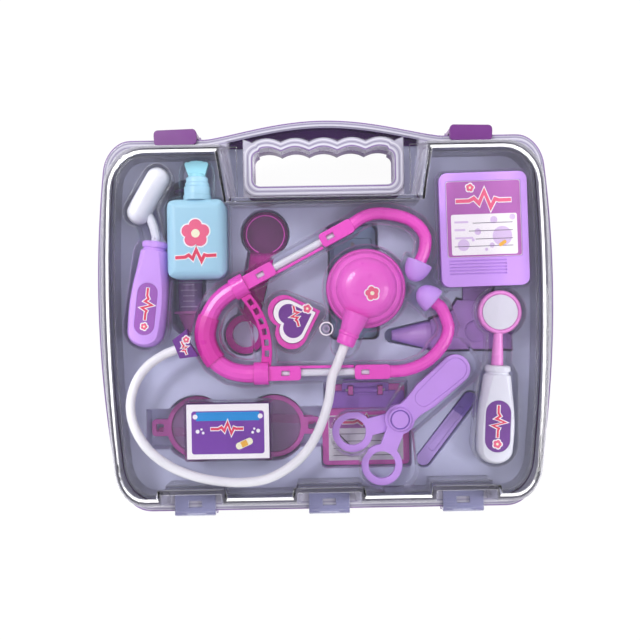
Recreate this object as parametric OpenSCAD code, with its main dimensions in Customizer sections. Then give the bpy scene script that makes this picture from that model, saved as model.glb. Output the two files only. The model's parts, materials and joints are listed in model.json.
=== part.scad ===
// Toy doctor case: two hinged shells, two vacuum-formed trays and a set of toy tools.
// Lies on its back shell. +X right, +Y to the handle, +Z up out of the clear front.

/* [Case] */
// Width of the case at its widest line
case_w = 282; // [276:1:300]
// Height of the case from hinge edge to latch edge
case_h = 230; // [226:1:244]
// Depth of each shell from its outer face to the joint between them
shell_d = 31; // [31:1:38]
// Wall of both shells
wall = 2; // [1.6:0.2:2.4]
// Height of the rim band on each shell
rim_h = 9; // [8:1:12]
// How much narrower each side is 100 mm from the widest line
side_bow = 7.5; // [4:0.5:9]
// Widest line above the middle
widest_y = 20; // [10:1:30]
// Radius of the handle-side corners
top_r = 19; // [16:1:24]
// Radius of the hinge-side corners
low_r = 28; // [24:1:32]

/* [Handle] */
// Rise of the handle arch above the top edge
arch_h = 10.5; // [6:0.5:14]
// Half the length of the arch
arch_half = 72; // [68:1:80]
// Width of the hand opening
hand_w = 87; // [76:1:88]
// Height of the hand opening between its straight edges
hand_h = 21; // [18:1:22]
// Middle of the hand opening above the case middle
hand_y = 95.3; // [94.5:0.1:96]
// Finger waves under the grip
fingers = 5; // [4:1:6]
// Corner radius of the hand opening
hand_r = 4.5; // [3:0.5:8]
// Rise of each finger wave
finger_h = 2.5; // [1.5:0.5:3]
// Width of the lip round the hand opening
lip = 6; // [4:0.5:6]

/* [Hinges and latches] */
// Distance of the outer hinges from the middle
hinge_x = 82.5; // [70:0.5:86]
// Radius of the hinge and latch pins
pin_r = 1.1; // [0.9:0.1:1.2]
// Radius of the hinge barrels
barrel_r = 2.1; // [2:0.1:2.3]
// Running clearance round the pins
pin_gap = 0.06; // [0.04:0.01:0.1]
// Width of a hinge clip
clip_w = 25; // [20:1:26]
// Width of a latch
latch_w = 26.5; // [22:0.5:30]
// Distance of the latches from the middle
latch_x = 91; // [86:0.5:95]

/* [Trays] */
// Thickness of both vacuum-formed sheets
sheet = 0.8; // [0.6:0.1:1.2]
// Gap between the tools and their pocket walls
pocket_gap = 0.8; // [0.6:0.1:1.2]
// Height of the clear tray's deck over the parting line
deck_up = 11; // [10:0.5:14]
// Depth of the clear tray's pockets
upper_deep = 12; // [10:0.5:13]
// Gap between the trays and the shells round them
tray_gap = 1; // [0.6:0.1:1.6]

/* [Stethoscope] */
// Radius of the thick yoke tube
yoke_r = 5.6; // [4.5:0.1:6]
// Radius of the thin rods
rod_r = 2.3; // [1.8:0.1:2.6]
// Radius of the ear tubes
ear_r = 3.9; // [3.2:0.1:4.2]
// Radius of the ear tips
tip_r = 8.2; // [6:0.1:8.3]
// Length of the ear tips
tip_l = 12.5; // [11:0.5:13]
// Diameter of the hose
hose_d = 5.7; // [5:0.1:6]
// Radius of the chest piece
chest_r = 24.8; // [22:0.1:25.2]
// Height of the chest piece's dome over its diaphragm ring
chest_h = 13; // [10:0.5:14]

/* [Tools] */
// Length of the hammer's handle
hammer_l = 66; // [58:1:68]
// Widest radius of the hammer's handle
hammer_r = 12.2; // [10:0.1:12.4]
// Thickness of the flat tool handles
grip_t = 15; // [12:0.5:15.5]
// Width of the bottle
bottle_w = 36.5; // [30:0.5:37]
// Height of the bottle's body
bottle_h = 49; // [42:1:50]
// Thickness of the bottle
bottle_t = 19; // [16:0.5:20]
// Radius of the bottle's neck
neck_r = 8.6; // [7:0.1:9]
// Width of the record card's frame
card_w = 54; // [48:0.5:54.5]
// Height of the record card's frame
card_h = 70; // [62:0.5:71]
// Thickness of the record card's frame
card_t = 9; // [7:0.5:11]
// Length of the dental mirror's handle
mirror_l = 61; // [54:1:62]
// Outer radius of the dental mirror's ring
mirror_r = 13.5; // [11:0.1:14]
// Thickness of each scissor half
blade_t = 2.5; // [2:0.1:2.6]
// Outer radius of the scissors' finger rings
ring_r = 12.8; // [11.5:0.1:13]
// Band width of the finger rings
ring_band = 4.4; // [3.5:0.1:5]
// Width of the bandage box
plaster_w = 51; // [44:0.5:52]
// Height of the bandage box's face
plaster_h = 34; // [28:0.5:35]
// Thickness of the bandage box
plaster_t = 13; // [10:0.5:14]
// Side of the square in the gauge's heart
heart_s = 20; // [17:0.5:20.5]
// Thickness of the gauge
gauge_t = 12; // [10:0.5:13]
// Outer radius of a glasses rim
rim_r = 20; // [18:0.1:20.5]
// Width of a glasses rim
rim_w = 3; // [2.5:0.1:4]
// Outer radius of the syringe barrel
barrel_tool_r = 8; // [7:0.1:8.4]
// Wall of the syringe barrel
syringe_wall = 1.2; // [1:0.1:1.6]
// Travel of the syringe plunger
plunge = 18; // [10:1:20]
// Width of the light-blue box
sound_w = 30; // [26:0.5:31]
// Length of the light-blue box
sound_l = 72; // [64:1:72]
// Thickness of the light-blue box
sound_t = 15; // [12:0.5:17]
// Width of the chart board
board_w = 56; // [50:0.5:57]
// Height of the chart board
board_h = 38; // [34:0.5:39]

/* [Hidden] */
$fn = 48;
eps = 0.01;
depth = 2 * shell_d;
part_z = shell_d;
half_w = case_w / 2;
half_h = case_h / 2;
// The rim's flat faces
rim_top = part_z + rim_h;
rim_low = part_z - rim_h;
ledge_z = rim_low + wall;
// Hinge axis and latch axis
hinge_gap = 0.4;
hinge_out = 1.4;
hinge_y = -half_h - hinge_out;
latch_y = half_h + barrel_r + hinge_gap;
latch_z = part_z - 6.5;
latch_rise = 17.3;
latch_gap = 0.9;
ear_w = 3;
// Notches in the raised front: how far they go in from the edge of the case
clip_in = 12;
hand_in = 37;
clip_notch = clip_w / 2 + 3;
hand_notch = hand_w / 2 + lip + 4.5;
// Decks and floors
upper_z = part_z + deck_up;
upper_floor = upper_z - upper_deep;
lower_z = ledge_z + sheet;
lower_floor = wall + sheet;
// Tools lie this far over the deck line of the stethoscope
steth_z = upper_floor + 9.5;
hose_r = hose_d / 2;
hose_z = upper_z + hose_r + 0.3;

function clamp01(v) = max(0, min(1, v));
function ramp(v, a, b) = clamp01((v - a) / (b - a));

// Points of a rounded outline before bending: corner arcs, edges split for the notches.
function arc_pts(cx, cy, r, a0, a1, n) =
  [for (i = [0:n]) let (a = a0 + (a1 - a0) * i / n) [cx + r * cos(a), cy + r * sin(a)]];
function hinge_xs(g) = [for (c = [-hinge_x, 0, hinge_x])
  each [c - clip_notch - g - 1, c - clip_notch - g, c + clip_notch + g, c + clip_notch + g + 1]];
function top_xs(g) = [96, 86, 74, hand_notch + g + 5, hand_notch + g,
  each [for (k = [8:-1:-8]) k * arch_half / 12], -hand_notch - g, -hand_notch - g - 5, -74, -86, -96];
function raw_outline(inset, rt, rb, g) = let (w = half_w - inset, h = half_h - inset) concat(
  arc_pts(w - rt, h - rt, rt, 0, 90, 6),
  [for (x = top_xs(g)) [x, h]],
  arc_pts(-w + rt, h - rt, rt, 90, 180, 6),
  [for (k = [1:7]) [-w, (h - rt) + k / 8 * (rb - h - h + rt)]],
  arc_pts(-w + rb, -h + rb, rb, 180, 270, 6),
  [for (x = hinge_xs(g)) [x, -h]],
  arc_pts(w - rb, -h + rb, rb, 270, 360, 6),
  [for (k = [1:7]) [w, (rb - h) + k / 8 * (h - rt + h - rb)]]);
// The sides bow, the top edge rises in an arch or dips round the handle, the low edge
// dips round each clip.
function arch(x) = abs(x) < arch_half ? arch_h * pow(cos(90 * x / arch_half), 1.2) : 0;
function bow(y) = side_bow * pow((y - widest_y) / 100, 2);
function warp(p, a, d, inset, g) =
  let (top = ramp(p.y, 40, 80),
       low = p.y < -half_h + inset + 1 ? 1 : 0,
       hand = 1 - ramp(abs(p.x), hand_notch + g, hand_notch + g + 5),
       clip = max([for (c = [-hinge_x, 0, hinge_x])
         abs(p.x - c) < clip_notch + g + 0.5 ? 1 : 0]))
  [p.x - sign(p.x) * bow(p.y) * pow(abs(p.x) / half_w, 6),
   p.y + a * arch(p.x) * top - d * hand * top * (hand_in - inset + g)
     + d * low * clip * max(0, clip_in - inset + g)];
function outline(inset, rt, rb, a, d, g) =
  [for (p = raw_outline(inset, max(rt - inset, 3), max(rb - inset, 3), g)) warp(p, a, d, inset, g)];

// Triangles across a ring: its upper and lower chains, both from right to left, joined like a
// zip by always stepping along the one whose next point is further right.
side_mid = 78;
other_mid = 43;
function zip(P, T, B, i = 0, j = 0) = i == len(T) - 1 && j == len(B) - 1 ? [] :
  j == len(B) - 1 || (i < len(T) - 1 && P[T[i + 1]].x >= P[B[j + 1]].x)
    ? concat([[T[i], T[i + 1], B[j]]], zip(P, T, B, i + 1, j))
    : concat([[T[i], B[j + 1], B[j]]], zip(P, T, B, i, j + 1));
function cap(P, first) = let (n = len(P)) [
  for (f = zip(P, [for (k = [side_mid - n:other_mid]) (k + n) % n], [for (k = [side_mid - 1:-1:other_mid + 1]) k]))
    [for (v = f) v + first]];

// One closed solid through a list of rings [z, inset, top radius, low radius, arch, notch, growth].
module lofted(rings, flip = false) {
  all = [for (s = rings) [for (p = outline(s[1], s[2], s[3], s[4], s[5], s[6])) [p.x, p.y, s[0]]]];
  n = len(all[0]);
  m = len(all);
  pts = [for (s = all) each s];
  side = [for (j = [0:m - 2], i = [0:n - 1]) let (k = (i + 1) % n,
      a = j * n + i, b = j * n + k, c = a + n, d = b + n) each [[a, b, d], [a, d, c]]];
  caps = concat([for (f = cap(all[0], 0)) [f[2], f[1], f[0]]], cap(all[m - 1], (m - 1) * n));
  faces = concat(side, caps);
  polyhedron(pts, flip ? faces : [for (f = faces) [for (k = [len(f) - 1:-1:0]) f[k]]], convexity = 10);
}
// Shell rings, measured from the parting plane outwards: raised face, side, rim, then the inside.
function shell_rings(dir, deep, foot, face) = let (z0 = part_z) [for (s = [
    [shell_d, face + 4.5, 36, 30, 0, 1, 3.5],
    [shell_d - 0.8, face + 2, 34, 29, 0, 1, 3],
    [shell_d - 3, face, 32, 28, 0, 1, 2.5],
    [rim_h + 1, foot, 26, 28, 0, 1, 0],
    [rim_h, foot - 0.5, 26, 28, 0, 1, 0],
    [rim_h, 1.2, top_r, low_r, 1, 0, 0],
    [rim_h - 1, 0.3, top_r, low_r, 1, 0, 0],
    [0, 0, top_r, low_r, 1, 0, 0],
    [0, wall, top_r, low_r, 1, 0, 1],
    [rim_h - wall, wall + 0.2, top_r, low_r, 1, 0, 1],
    [rim_h - wall, foot + wall - 0.5, 26, 28, 0, 1, 2.2],
    [rim_h + 1, foot + wall, 26, 28, 0, 1, 2.2],
    [shell_d - 5, face + wall, 32, 28, 0, 1, 4.5],
    [shell_d - wall, face + wall + 2.5, 34, 29, 0, 1, 5.5]])
  [z0 + dir * s[0], s[1], s[2], s[3], s[4], s[5], s[6]]];

// Two-dimensional helpers
module rrect(w, h, r) { polygon(concat(arc_pts(w / 2 - r, h / 2 - r, r, 0, 90, 5),
    arc_pts(-w / 2 + r, h / 2 - r, r, 90, 180, 5), arc_pts(-w / 2 + r, -h / 2 + r, r, 180, 270, 5),
    arc_pts(w / 2 - r, -h / 2 + r, r, 270, 360, 5))); }
// A bar with round ends of two radii, between two points
module bar2d(p, q, r1, r2) {
  a = atan2(q.y - p.y, q.x - p.x);
  polygon(concat(arc_pts(q.x, q.y, r2, a - 90, a + 90, 9), arc_pts(p.x, p.y, r1, a + 90, a + 270, 9)));
}
module at(p, z = 0, a = 0) { translate([p.x, p.y, z]) rotate([0, 0, a]) children(); }
// A lathe-turned piece whose axis lies along +Y, with its foot at the origin
module turned(profile) { rotate([-90, 0, 0]) rotate_extrude() polygon(profile); }

// Smooth points through the given ones
function cr(p0, p1, p2, p3, t) = 0.5 * (2 * p1 + (p2 - p0) * t + (2 * p0 - 5 * p1 + 4 * p2 - p3) * t * t
  + (3 * p1 - p0 - 3 * p2 + p3) * t * t * t);
function smooth(P, n) = let (m = len(P) - 1) concat([for (i = [0:m - 1], k = [0:n - 1])
  cr(P[max(i - 1, 0)], P[i], P[i + 1], P[min(i + 2, m)], k / n)], [P[m]]);
function unit(v) = v / norm(v);
module tube(P, r, sides) {
  n = len(P);
  ring = [for (i = [0:n - 1]) let (t = unit(P[min(i + 1, n - 1)] - P[max(i - 1, 0)]),
      s = unit(cross([0, 0, 1], t)), u = cross(t, s))
      for (k = [0:sides - 1]) P[i] + r * (cos(360 * k / sides) * s + sin(360 * k / sides) * u)];
  faces = concat([[for (k = [0:sides - 1]) k]],
    [for (i = [0:n - 2], k = [0:sides - 1]) let (a = i * sides + k, b = i * sides + (k + 1) % sides)
      each [[a, a + sides, b + sides], [a, b + sides, b]]],
    [[for (k = [sides - 1:-1:0]) (n - 1) * sides + k]]);
  polyhedron(ring, faces, convexity = 6);
}

// Hand opening with finger waves under the grip
module hand2d(g = 0) {
  translate([0, hand_y]) rrect(hand_w + 2 * g, hand_h + 2 * g, hand_r + 0.6 * g);
  pitch = hand_w / fingers;
  chord = pitch / 2;
  r = (chord * chord + finger_h * finger_h) / (2 * finger_h);
  for (k = [0:fingers - 1])
    intersection() {
      translate([(k - (fingers - 1) / 2) * pitch, hand_y + hand_h / 2 + finger_h - r]) circle(r + g);
      translate([-hand_w / 2 + 3 - 0.5 * g, hand_y]) square([hand_w - 6 + g, hand_h + g]);
    }
}

// Shell pieces
barrel_w = clip_w - 2 * (ear_w + 0.3);
module along_x(x0, y, z, r, l) translate([x0, y, z]) rotate([0, 90, 0]) cylinder(r = r, h = l);
module hinge_ears() for (c = [-hinge_x, 0, hinge_x]) {
  for (x = [c - clip_w / 2, c + clip_w / 2 - ear_w]) {
    along_x(x, hinge_y, part_z, barrel_r, ear_w);
    translate([x, hinge_y, part_z - 2]) cube([ear_w, hinge_out + wall - 0.5, 2]);
  }
  along_x(c - clip_w / 2, hinge_y, part_z, pin_r, clip_w);
}
module latch_ears() for (c = [-latch_x, latch_x]) {
  for (x = [c - latch_w / 2, c + latch_w / 2 - ear_w]) {
    along_x(x, latch_y, latch_z, barrel_r, ear_w);
    translate([x, half_h - 0.5 * wall, latch_z - barrel_r]) cube([ear_w, latch_y - half_h + 0.5 * wall, 2 * barrel_r]);
  }
  along_x(c - latch_w / 2, latch_y, latch_z, pin_r, latch_w);
}
module base_shell() color([0.45, 0.2, 0.6]) {
  difference() {
    union() {
      lofted(shell_rings(-1, shell_d, 11.5, 13));
      translate([0, 0, rim_low]) linear_extrude(rim_h) hand2d(lip);
    }
    translate([0, 0, -1]) linear_extrude(part_z + 2) hand2d();
    for (c = [-hinge_x, 0, hinge_x]) along_x(c - barrel_w / 2 - 0.3, hinge_y, part_z, barrel_r + 0.4, barrel_w + 0.6);
  }
  hinge_ears();
  latch_ears();
}
module lid_all() {
  difference() {
    union() {
      lofted(shell_rings(1, shell_d, 5.5, 8), true);
      translate([0, 0, part_z]) linear_extrude(rim_h + 1.5) hand2d(lip);
    }
    translate([0, 0, part_z - 1]) linear_extrude(shell_d + 2) hand2d();
    // A catch groove for each latch, and hollows round the hinge barrels
    for (c = [-latch_x, latch_x]) translate([c - latch_w / 2 + 3, half_h - 0.8, part_z + 3])
        cube([latch_w - 6, 2, 2]);
    for (c = [-hinge_x, 0, hinge_x]) along_x(c - clip_w / 2 - 0.4, hinge_y, part_z, barrel_r + 0.4, clip_w + 0.8);
  }
}

// The lid's share of the carrying grip is moulded in one with the lid. It is cut off as a
// body of its own so that its collision follows the hand opening.
module grip_zone() translate([0, 0, part_z - 1]) linear_extrude(rim_h + 2.55) {
  translate([-74, half_h - 5.2]) square([148, 40]);
  translate([0.3 - hand_notch, half_h - hand_in + 0.3]) square([2 * hand_notch - 0.6, 60]);
}
module lid_shell() color([0.85, 0.85, 0.95]) difference() { lid_all(); grip_zone(); }
module lid_grip() color([0.85, 0.85, 0.95]) intersection() { lid_all(); grip_zone(); }
// A clip: narrow eye on the base's pin, arm outside the rim, plate in the lid's pocket
clip_plate = 2;
clip_t = 2;
module clip_one() {
  inner = hinge_y + clip_t / 2;
  outer = hinge_y - clip_t / 2;
  difference() {
    union() {
      along_x(-barrel_w / 2, hinge_y, part_z, barrel_r, barrel_w);
      translate([-barrel_w / 2, outer, part_z]) cube([barrel_w, clip_t, 5]);
      rotate([90, 0, 90]) translate([0, 0, -clip_w / 2]) linear_extrude(clip_w) polygon([
          [outer, part_z + 3], [inner, part_z + 3], [inner, rim_top + 0.1],
          [-half_h + clip_in - 1, rim_top + 0.1], [-half_h + clip_in - 1, rim_top + clip_plate],
          [outer + 1, rim_top + clip_plate], [outer, rim_top + clip_plate - 1]]);
    }
    along_x(-barrel_w / 2 - 1, hinge_y, part_z, pin_r + pin_gap, barrel_w + 2);
    // Window with the snap slot
    translate([-6, outer - 1, rim_top - 5]) cube([12, clip_t + 0.4, 3]);
    translate([-4, -half_h + 3, rim_top - 1]) cube([8, 4, 4]);
    for (s = [-1, 1]) translate([s * (clip_w / 2 + 1), outer - 1.4, rim_top]) rotate([0, 0, 45])
        cube([4, 4, 16], center = true);
  }
}
module hinge_clips() color([0.62, 0.62, 0.78]) for (c = [-hinge_x, 0, hinge_x]) translate([c, 0, 0]) clip_one();

// A latch: narrow eye below, full-width plate that stands outside the lid's rim
module latch() {
  inner = half_h + latch_gap;
  outer = latch_y + barrel_r + 1;
  top = latch_z + latch_rise;
  eye = latch_w - 2 * (ear_w + 0.3);
  difference() {
    union() {
      along_x(-eye / 2, latch_y, latch_z, barrel_r, eye);
      translate([-eye / 2, half_h + hinge_gap, latch_z]) cube([eye, outer - half_h - hinge_gap - 0.6, 4.5]);
      intersection() {
        rotate([90, 0, 90]) translate([0, 0, -latch_w / 2]) linear_extrude(latch_w) polygon([
            [inner, latch_z + 3.2], [outer - 0.6, latch_z + 3.2], [outer, latch_z + 5],
            [outer, top - 1], [outer - 1, top], [inner, top]]);
        translate([0, (inner + outer) / 2 - 5, latch_z]) linear_extrude(30) rrect(latch_w, outer - inner + 10, 3.2);
      }
    }
    along_x(-latch_w / 2 - 1, latch_y, latch_z, pin_r + pin_gap, latch_w + 2);
    // Two shallow finger grooves across the plate
    for (z = [top - 4, top - 7]) translate([-latch_w / 2 + 4, outer - 0.5, z]) cube([latch_w - 8, 2, 1.2]);
  }
}
module latch_left() color([0.54, 0.27, 0.61]) translate([-latch_x, 0, 0]) latch();
module latch_right() color([0.54, 0.27, 0.61]) translate([latch_x, 0, 0]) latch();

// Places of the tools in the case: middle points and tilts
hammer_p = [-113, -13.3];
hammer_a = -7;
bottle_p = [-78.3, 52.7];
card_p = [98, 56];
card_a = 1;
mirror_p = [102.5, -89];
mirror_a = -3.2;
pivot_p = [45, -61];
blade_a = 41;
plaster_p = [-61.5, -65.5];
heart_p = [-3.5, 7.5];
heart_a = 108;
chest_p = [25, 21];
chest_a = -112;
chest_dir = [cos(chest_a), sin(chest_a)];
neck_end = chest_r + 4.5;
collar_l = 8;
chest_end = chest_p + (neck_end + collar_l) * chest_dir;
loupe_p = [-38, 57.5];
loupe_q = [-52, -6.5];
glass_p = [-84, -66];
glass_q = [-34.5, -66];
board_p = [24.5, -73];
thermo_p = [61, -88];
thermo_q = [91, -50];
sound_p = [18, 26];
syringe_x = -88;
syringe_y = 9;
oto_p = [96, 14];

// Stethoscope routes, from the clamps round and out to the ear tips
clamp_u = [-52, 24];
clamp_l = [-39, -30.5];
arm_a = 27.7;
arm_l = 66;
arm_dir = [cos(arm_a), sin(arm_a)];
yoke_pts = [clamp_u, clamp_u - 5 * arm_dir, clamp_u - 10 * arm_dir, [-67.5, 13.5], [-72.5, 5], [-75, -5],
  [-73.5, -14], [-68.5, -22.5], [-60, -28.4], [-50.5, clamp_l.y], [-45, clamp_l.y], clamp_l];
tip_u = [58.5, 36.5];
tip_u_a = 156;
tip_l_p = [66.8, 12];
tip_l_a = 49;
tip_u_dir = [-sin(tip_u_a), cos(tip_u_a)];
tip_l_dir = [-sin(tip_l_a), cos(tip_l_a)];
ear_u = clamp_u + (arm_l + 10) * arm_dir;
ear_u_pts = [ear_u, [22, 64.2], [30, 67], [39, 66.8], [50, 64.2], [57.5, 59.5], [62.3, 52],
  tip_u - 7 * tip_u_dir, tip_u - 3.5 * tip_u_dir, tip_u];
ear_l = clamp_l + (arm_l + 10) * [1, 0];
ear_l_pts = [ear_l, [48, -30.2], [59, -26.5], [67, -20.5], [73.5, -12], [75.6, -3],
  tip_l_p - 6 * tip_l_dir, tip_l_p - 3 * tip_l_dir, tip_l_p];
function lift(P, z) = [for (p = P) [p.x, p.y, z]];
tag_p = [-81.6, -10.6];
tag_q = [-91.5, -14.5];
// The hose's free route, round numbers, from the tag round the corner and up to the chest piece
tag_dir = (tag_q - tag_p) / norm(tag_q - tag_p);
hose_pts = [tag_q, tag_q + 4 * tag_dir, tag_q + 8 * tag_dir, [-108, -23], [-115, -31], [-119, -40], [-120.5, -50], [-118.5, -61],
  [-112, -73], [-102, -82.6], [-89, -89.8], [-73, -94.5], [-55, -96.5], [-37, -94.3], [-20, -84.7], [-8, -70],
  [0, -50], chest_end + 22 * chest_dir, chest_end + 14 * chest_dir, chest_end + 7 * chest_dir, chest_end];

yoke_path = smooth(lift(yoke_pts, steth_z), 3);
function part_of(P, a, b) = [for (i = [a:b]) P[i]];
module yoke() color([0.93, 0.35, 0.8]) tube(yoke_path, yoke_r, 12);
module yoke_sleeve() color([0.8, 0.25, 0.7]) difference() {
  tube(part_of(yoke_path, 12, 21), yoke_r + 1.1, 12);
  tube(part_of(yoke_path, 10, 23), yoke_r + 0.06, 12);
}
module rod_clamp(side) {
  // Block that holds the yoke's end, with a channel for the rod and a window on top
  difference() {
    union() {
      translate([-6, 0, steth_z]) rotate([0, 90, 0]) cylinder(r = yoke_r + 1.4, h = 9);
      translate([0, -4.4, steth_z - 4]) linear_extrude(8) translate([10, 4.4]) rrect(26, 8.8, 2);
      // Thin strip that runs beside the rod
      translate([18, side * 3.5 - 0.8, steth_z - 4]) cube([arm_l - 28.4, 1.6, 5]);
    }
    translate([-8, 0, steth_z]) rotate([0, 90, 0]) cylinder(r = yoke_r + 0.3, h = 8);
    translate([8, 0, steth_z]) rotate([0, 90, 0]) cylinder(r = rod_r + 0.05, h = 20);
    translate([11, -1.6, steth_z + 1]) cube([5, 3.2, 6]);
  }
}
module clamp_upper() color([0.93, 0.35, 0.8]) at(clamp_u, 0, arm_a) rod_clamp(-1);
module clamp_lower() color([0.93, 0.35, 0.8]) at(clamp_l, 0, 0) rod_clamp(1);
// Channel that takes the rod's far end and carries the ear tube
module ear_channel() difference() {
  translate([arm_l - 10, 0, steth_z - 4]) linear_extrude(8) translate([11, 0]) rrect(22, 8.8, 2);
  translate([arm_l - 12, 0, steth_z]) rotate([0, 90, 0]) cylinder(r = rod_r + 0.05, h = 16);
  translate([arm_l - 6, -1.6, steth_z + 1]) cube([5, 3.2, 6]);
}
module rod() translate([8.2, 0, steth_z]) rotate([0, 90, 0]) cylinder(r = rod_r, h = arm_l - 4.4);
module rod_upper() color([0.97, 0.97, 0.97]) at(clamp_u, 0, arm_a) rod();
module rod_lower() color([0.97, 0.97, 0.97]) at(clamp_l, 0, 0) rod();
module ear_tube_upper() color([0.93, 0.35, 0.8]) {
  at(clamp_u, 0, arm_a) ear_channel();
  tube(smooth(lift(ear_u_pts, steth_z), 2), ear_r, 12);
}
module ear_tube_lower() color([0.93, 0.35, 0.8]) {
  at(clamp_l, 0, 0) ear_channel();
  tube(smooth(lift(ear_l_pts, steth_z), 2), ear_r, 12);
}
// Soft half-dome tip, its flat foot on the end of its tube
module ear_tip() translate([0, 0, steth_z]) turned(concat([[0, 0.1], [tip_r - 0.5, 0.1]],
  [for (i = [0:9]) [tip_r * cos(i * 10), 0.7 + (tip_l - 0.7) * sin(i * 10)]]));
module ear_tip_upper() color([0.8, 0.62, 0.98]) at(tip_u, 0, tip_u_a) ear_tip();
module ear_tip_lower() color([0.8, 0.62, 0.98]) at(tip_l_p, 0, tip_l_a) ear_tip();

// Circle through three points
function middle(a, b, c) = let (d = 2 * (a.x * (b.y - c.y) + b.x * (c.y - a.y) + c.x * (a.y - b.y)),
  a2 = a * a, b2 = b * b, c2 = c * c)
  [(a2 * (b.y - c.y) + b2 * (c.y - a.y) + c2 * (a.y - b.y)) / d,
   (a2 * (c.x - b.x) + b2 * (a.x - c.x) + c2 * (b.x - a.x)) / d];
bridge = [[-50.5, 18.5], [-40, 1.5], [-37.6, -25]];
module spring_bridge() color([0.85, 0.15, 0.6]) {
  o = middle(bridge[0], bridge[1], bridge[2]);
  r = norm(bridge[0] - o);
  a0 = atan2(bridge[2].y - o.y, bridge[2].x - o.x) - 4;
  a1 = atan2(bridge[0].y - o.y, bridge[0].x - o.x) + 4;
  difference() {
    translate([o.x, o.y, steth_z - 2]) rotate([0, 0, a0]) rotate_extrude(angle = a1 - a0)
        translate([r - 3.1, 0]) square([6.2, 4]);
    // Slots along the middle of the strip
    for (k = [0:5]) translate([o.x, o.y, steth_z - 3]) rotate([0, 0, a0 + (a1 - a0) * (k + 1.25) / 8])
        rotate_extrude(angle = (a1 - a0) / 14) translate([r - 1.4, 0]) square([2.8, 6]);
    at(clamp_u, steth_z, arm_a) translate([-9, 0, 0]) rotate([0, 90, 0]) cylinder(r = yoke_r + 1.6, h = 12.1);
    at(clamp_u, steth_z - 5, arm_a) translate([2, -4.6, 0]) cube([30, 20, 10]);
    at(clamp_l, steth_z, 0) translate([-9, 0, 0]) rotate([0, 90, 0]) cylinder(r = yoke_r + 1.6, h = 12.1);
    at(clamp_l, steth_z - 5, 0) translate([-12, -20, 0]) cube([40, 24.6, 10]);
  }
}
module tube_tag() color([0.6, 0.25, 0.7]) {
  v = tag_q - tag_p;
  at(tag_p, hose_z - 3, atan2(v.y, v.x)) linear_extrude(6)
    polygon([[0, -9], [norm(v), -6], [norm(v), 6], [0, 9], [1.6, 0]]);
}
module hose() color([0.96, 0.96, 0.98]) tube(smooth(lift(hose_pts, hose_z), 3), hose_r, 10);

chest_foot = upper_floor + 2.2;
chest_top = chest_foot + 6 + chest_h;
module chest_dome() color([0.95, 0.4, 0.85]) difference() {
  union() {
    at(chest_p) rotate_extrude() polygon(concat([[0, chest_foot], [chest_r - 1.6, chest_foot],
      [chest_r - 0.6, chest_foot + 0.8], [chest_r, chest_foot + 2], [chest_r, chest_foot + 5],
      [chest_r - 0.8, chest_foot + 6.2], [chest_r - 1.8, chest_foot + 6.2], [chest_r - 2.4, chest_foot + 8.5],
      [chest_r - 3.6, chest_foot + 10.4], [chest_r - 5.4, chest_foot + 11.6], [chest_r - 6, chest_foot + 11.7]],
      [for (i = [1:8]) let (a = i * 11.25) [(chest_r - 6.4) * cos(a), chest_foot + 11.9
        + (chest_top - chest_foot - 11.9) * sin(a)]]));
    at(chest_p, hose_z, chest_a) translate([chest_r - 8, 0, 0]) rotate([0, 90, 0])
      cylinder(r1 = 8.2, r2 = 6, h = neck_end - chest_r + 8);
  }
}
module chest_collar() color([0.85, 0.3, 0.75]) at(chest_p, hose_z, chest_a) translate([neck_end, 0, 0])
  rotate([0, 90, 0]) rotate_extrude() polygon([[0, 0], [6.4, 0], [6.4, 1.6], [5.8, 2.2], [5.8, collar_l - 2],
    [5.2, collar_l], [0, collar_l]]);
module diaphragm() color([0.98, 0.98, 0.98]) at(chest_p, upper_floor) rotate_extrude()
  polygon([[0, 0.4], [chest_r - 5, 0.4], [chest_r - 4.6, 0], [chest_r - 2.2, 0], [chest_r - 1.6, 0.6],
    [chest_r - 1.6, 2.2], [0, 2.2]]);

// Flat tool handle turned on a lathe and cut to one thickness
function grip_profile(l, r, neck) = concat([[0, 0]], [for (i = [0:7]) let (a = -90 + i * 90 / 7)
  [r * 0.93 * cos(a), r * 0.75 + r * 0.75 * sin(a)]], [for (i = [1:8]) let (t = i / 8)
  [r * 0.93 + (r - r * 0.93) * sin(180 * min(1, t * 1.3)) - (r * 0.93 - neck - 1) * pow(t, 2.2),
   r * 0.75 + (l - 6 - r * 0.75) * t]], [[neck + 0.2, l - 5.6], [neck - 0.4, l - 4.8], [neck - 0.4, l - 4.2],
   [neck + 0.5, l - 3.6], [neck + 0.7, l - 2.2], [neck + 0.5, l - 0.8], [neck - 0.5, l], [0, l]]);
module grip(l, r, neck, t) intersection() {
  translate([0, 0, upper_floor + t / 2]) turned(grip_profile(l, r, neck));
  translate([-50, -5, upper_floor]) cube([100, l + 10, t]);
}
grip_z = upper_floor + grip_t / 2;
module hammer_handle() color([0.78, 0.6, 0.98]) at(hammer_p, 0, hammer_a) difference() {
  grip(hammer_l, hammer_r, 7.4, grip_t);
  translate([0, 24, upper_floor + grip_t - 0.5]) linear_extrude(2) rrect(12.4, 32, 6.1);
}
head_p = [-115, 70.5];
head_q = [-103, 91];
module hammer_head() color([0.95, 0.95, 0.98]) {
  v = head_q - head_p;
  z = upper_floor + 7.5;
  r = 7.4;
  at(head_p, z, atan2(v.y, v.x)) {
    rotate([0, 90, 0]) cylinder(r = r, h = norm(v));
    sphere(r);
    translate([norm(v), 0, 0]) sphere(r);
  }
  top = hammer_p + hammer_l * [-sin(hammer_a), cos(hammer_a)];
  axis = [-sin(hammer_a), cos(hammer_a)];
  tube(smooth([for (p = [top, top + 1.5 * axis, top + 3 * axis, top + [-2.4, 13], head_p + 4 * unit(v)]) [p.x, p.y, z]], 3), 2.9, 10);
}

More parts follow.
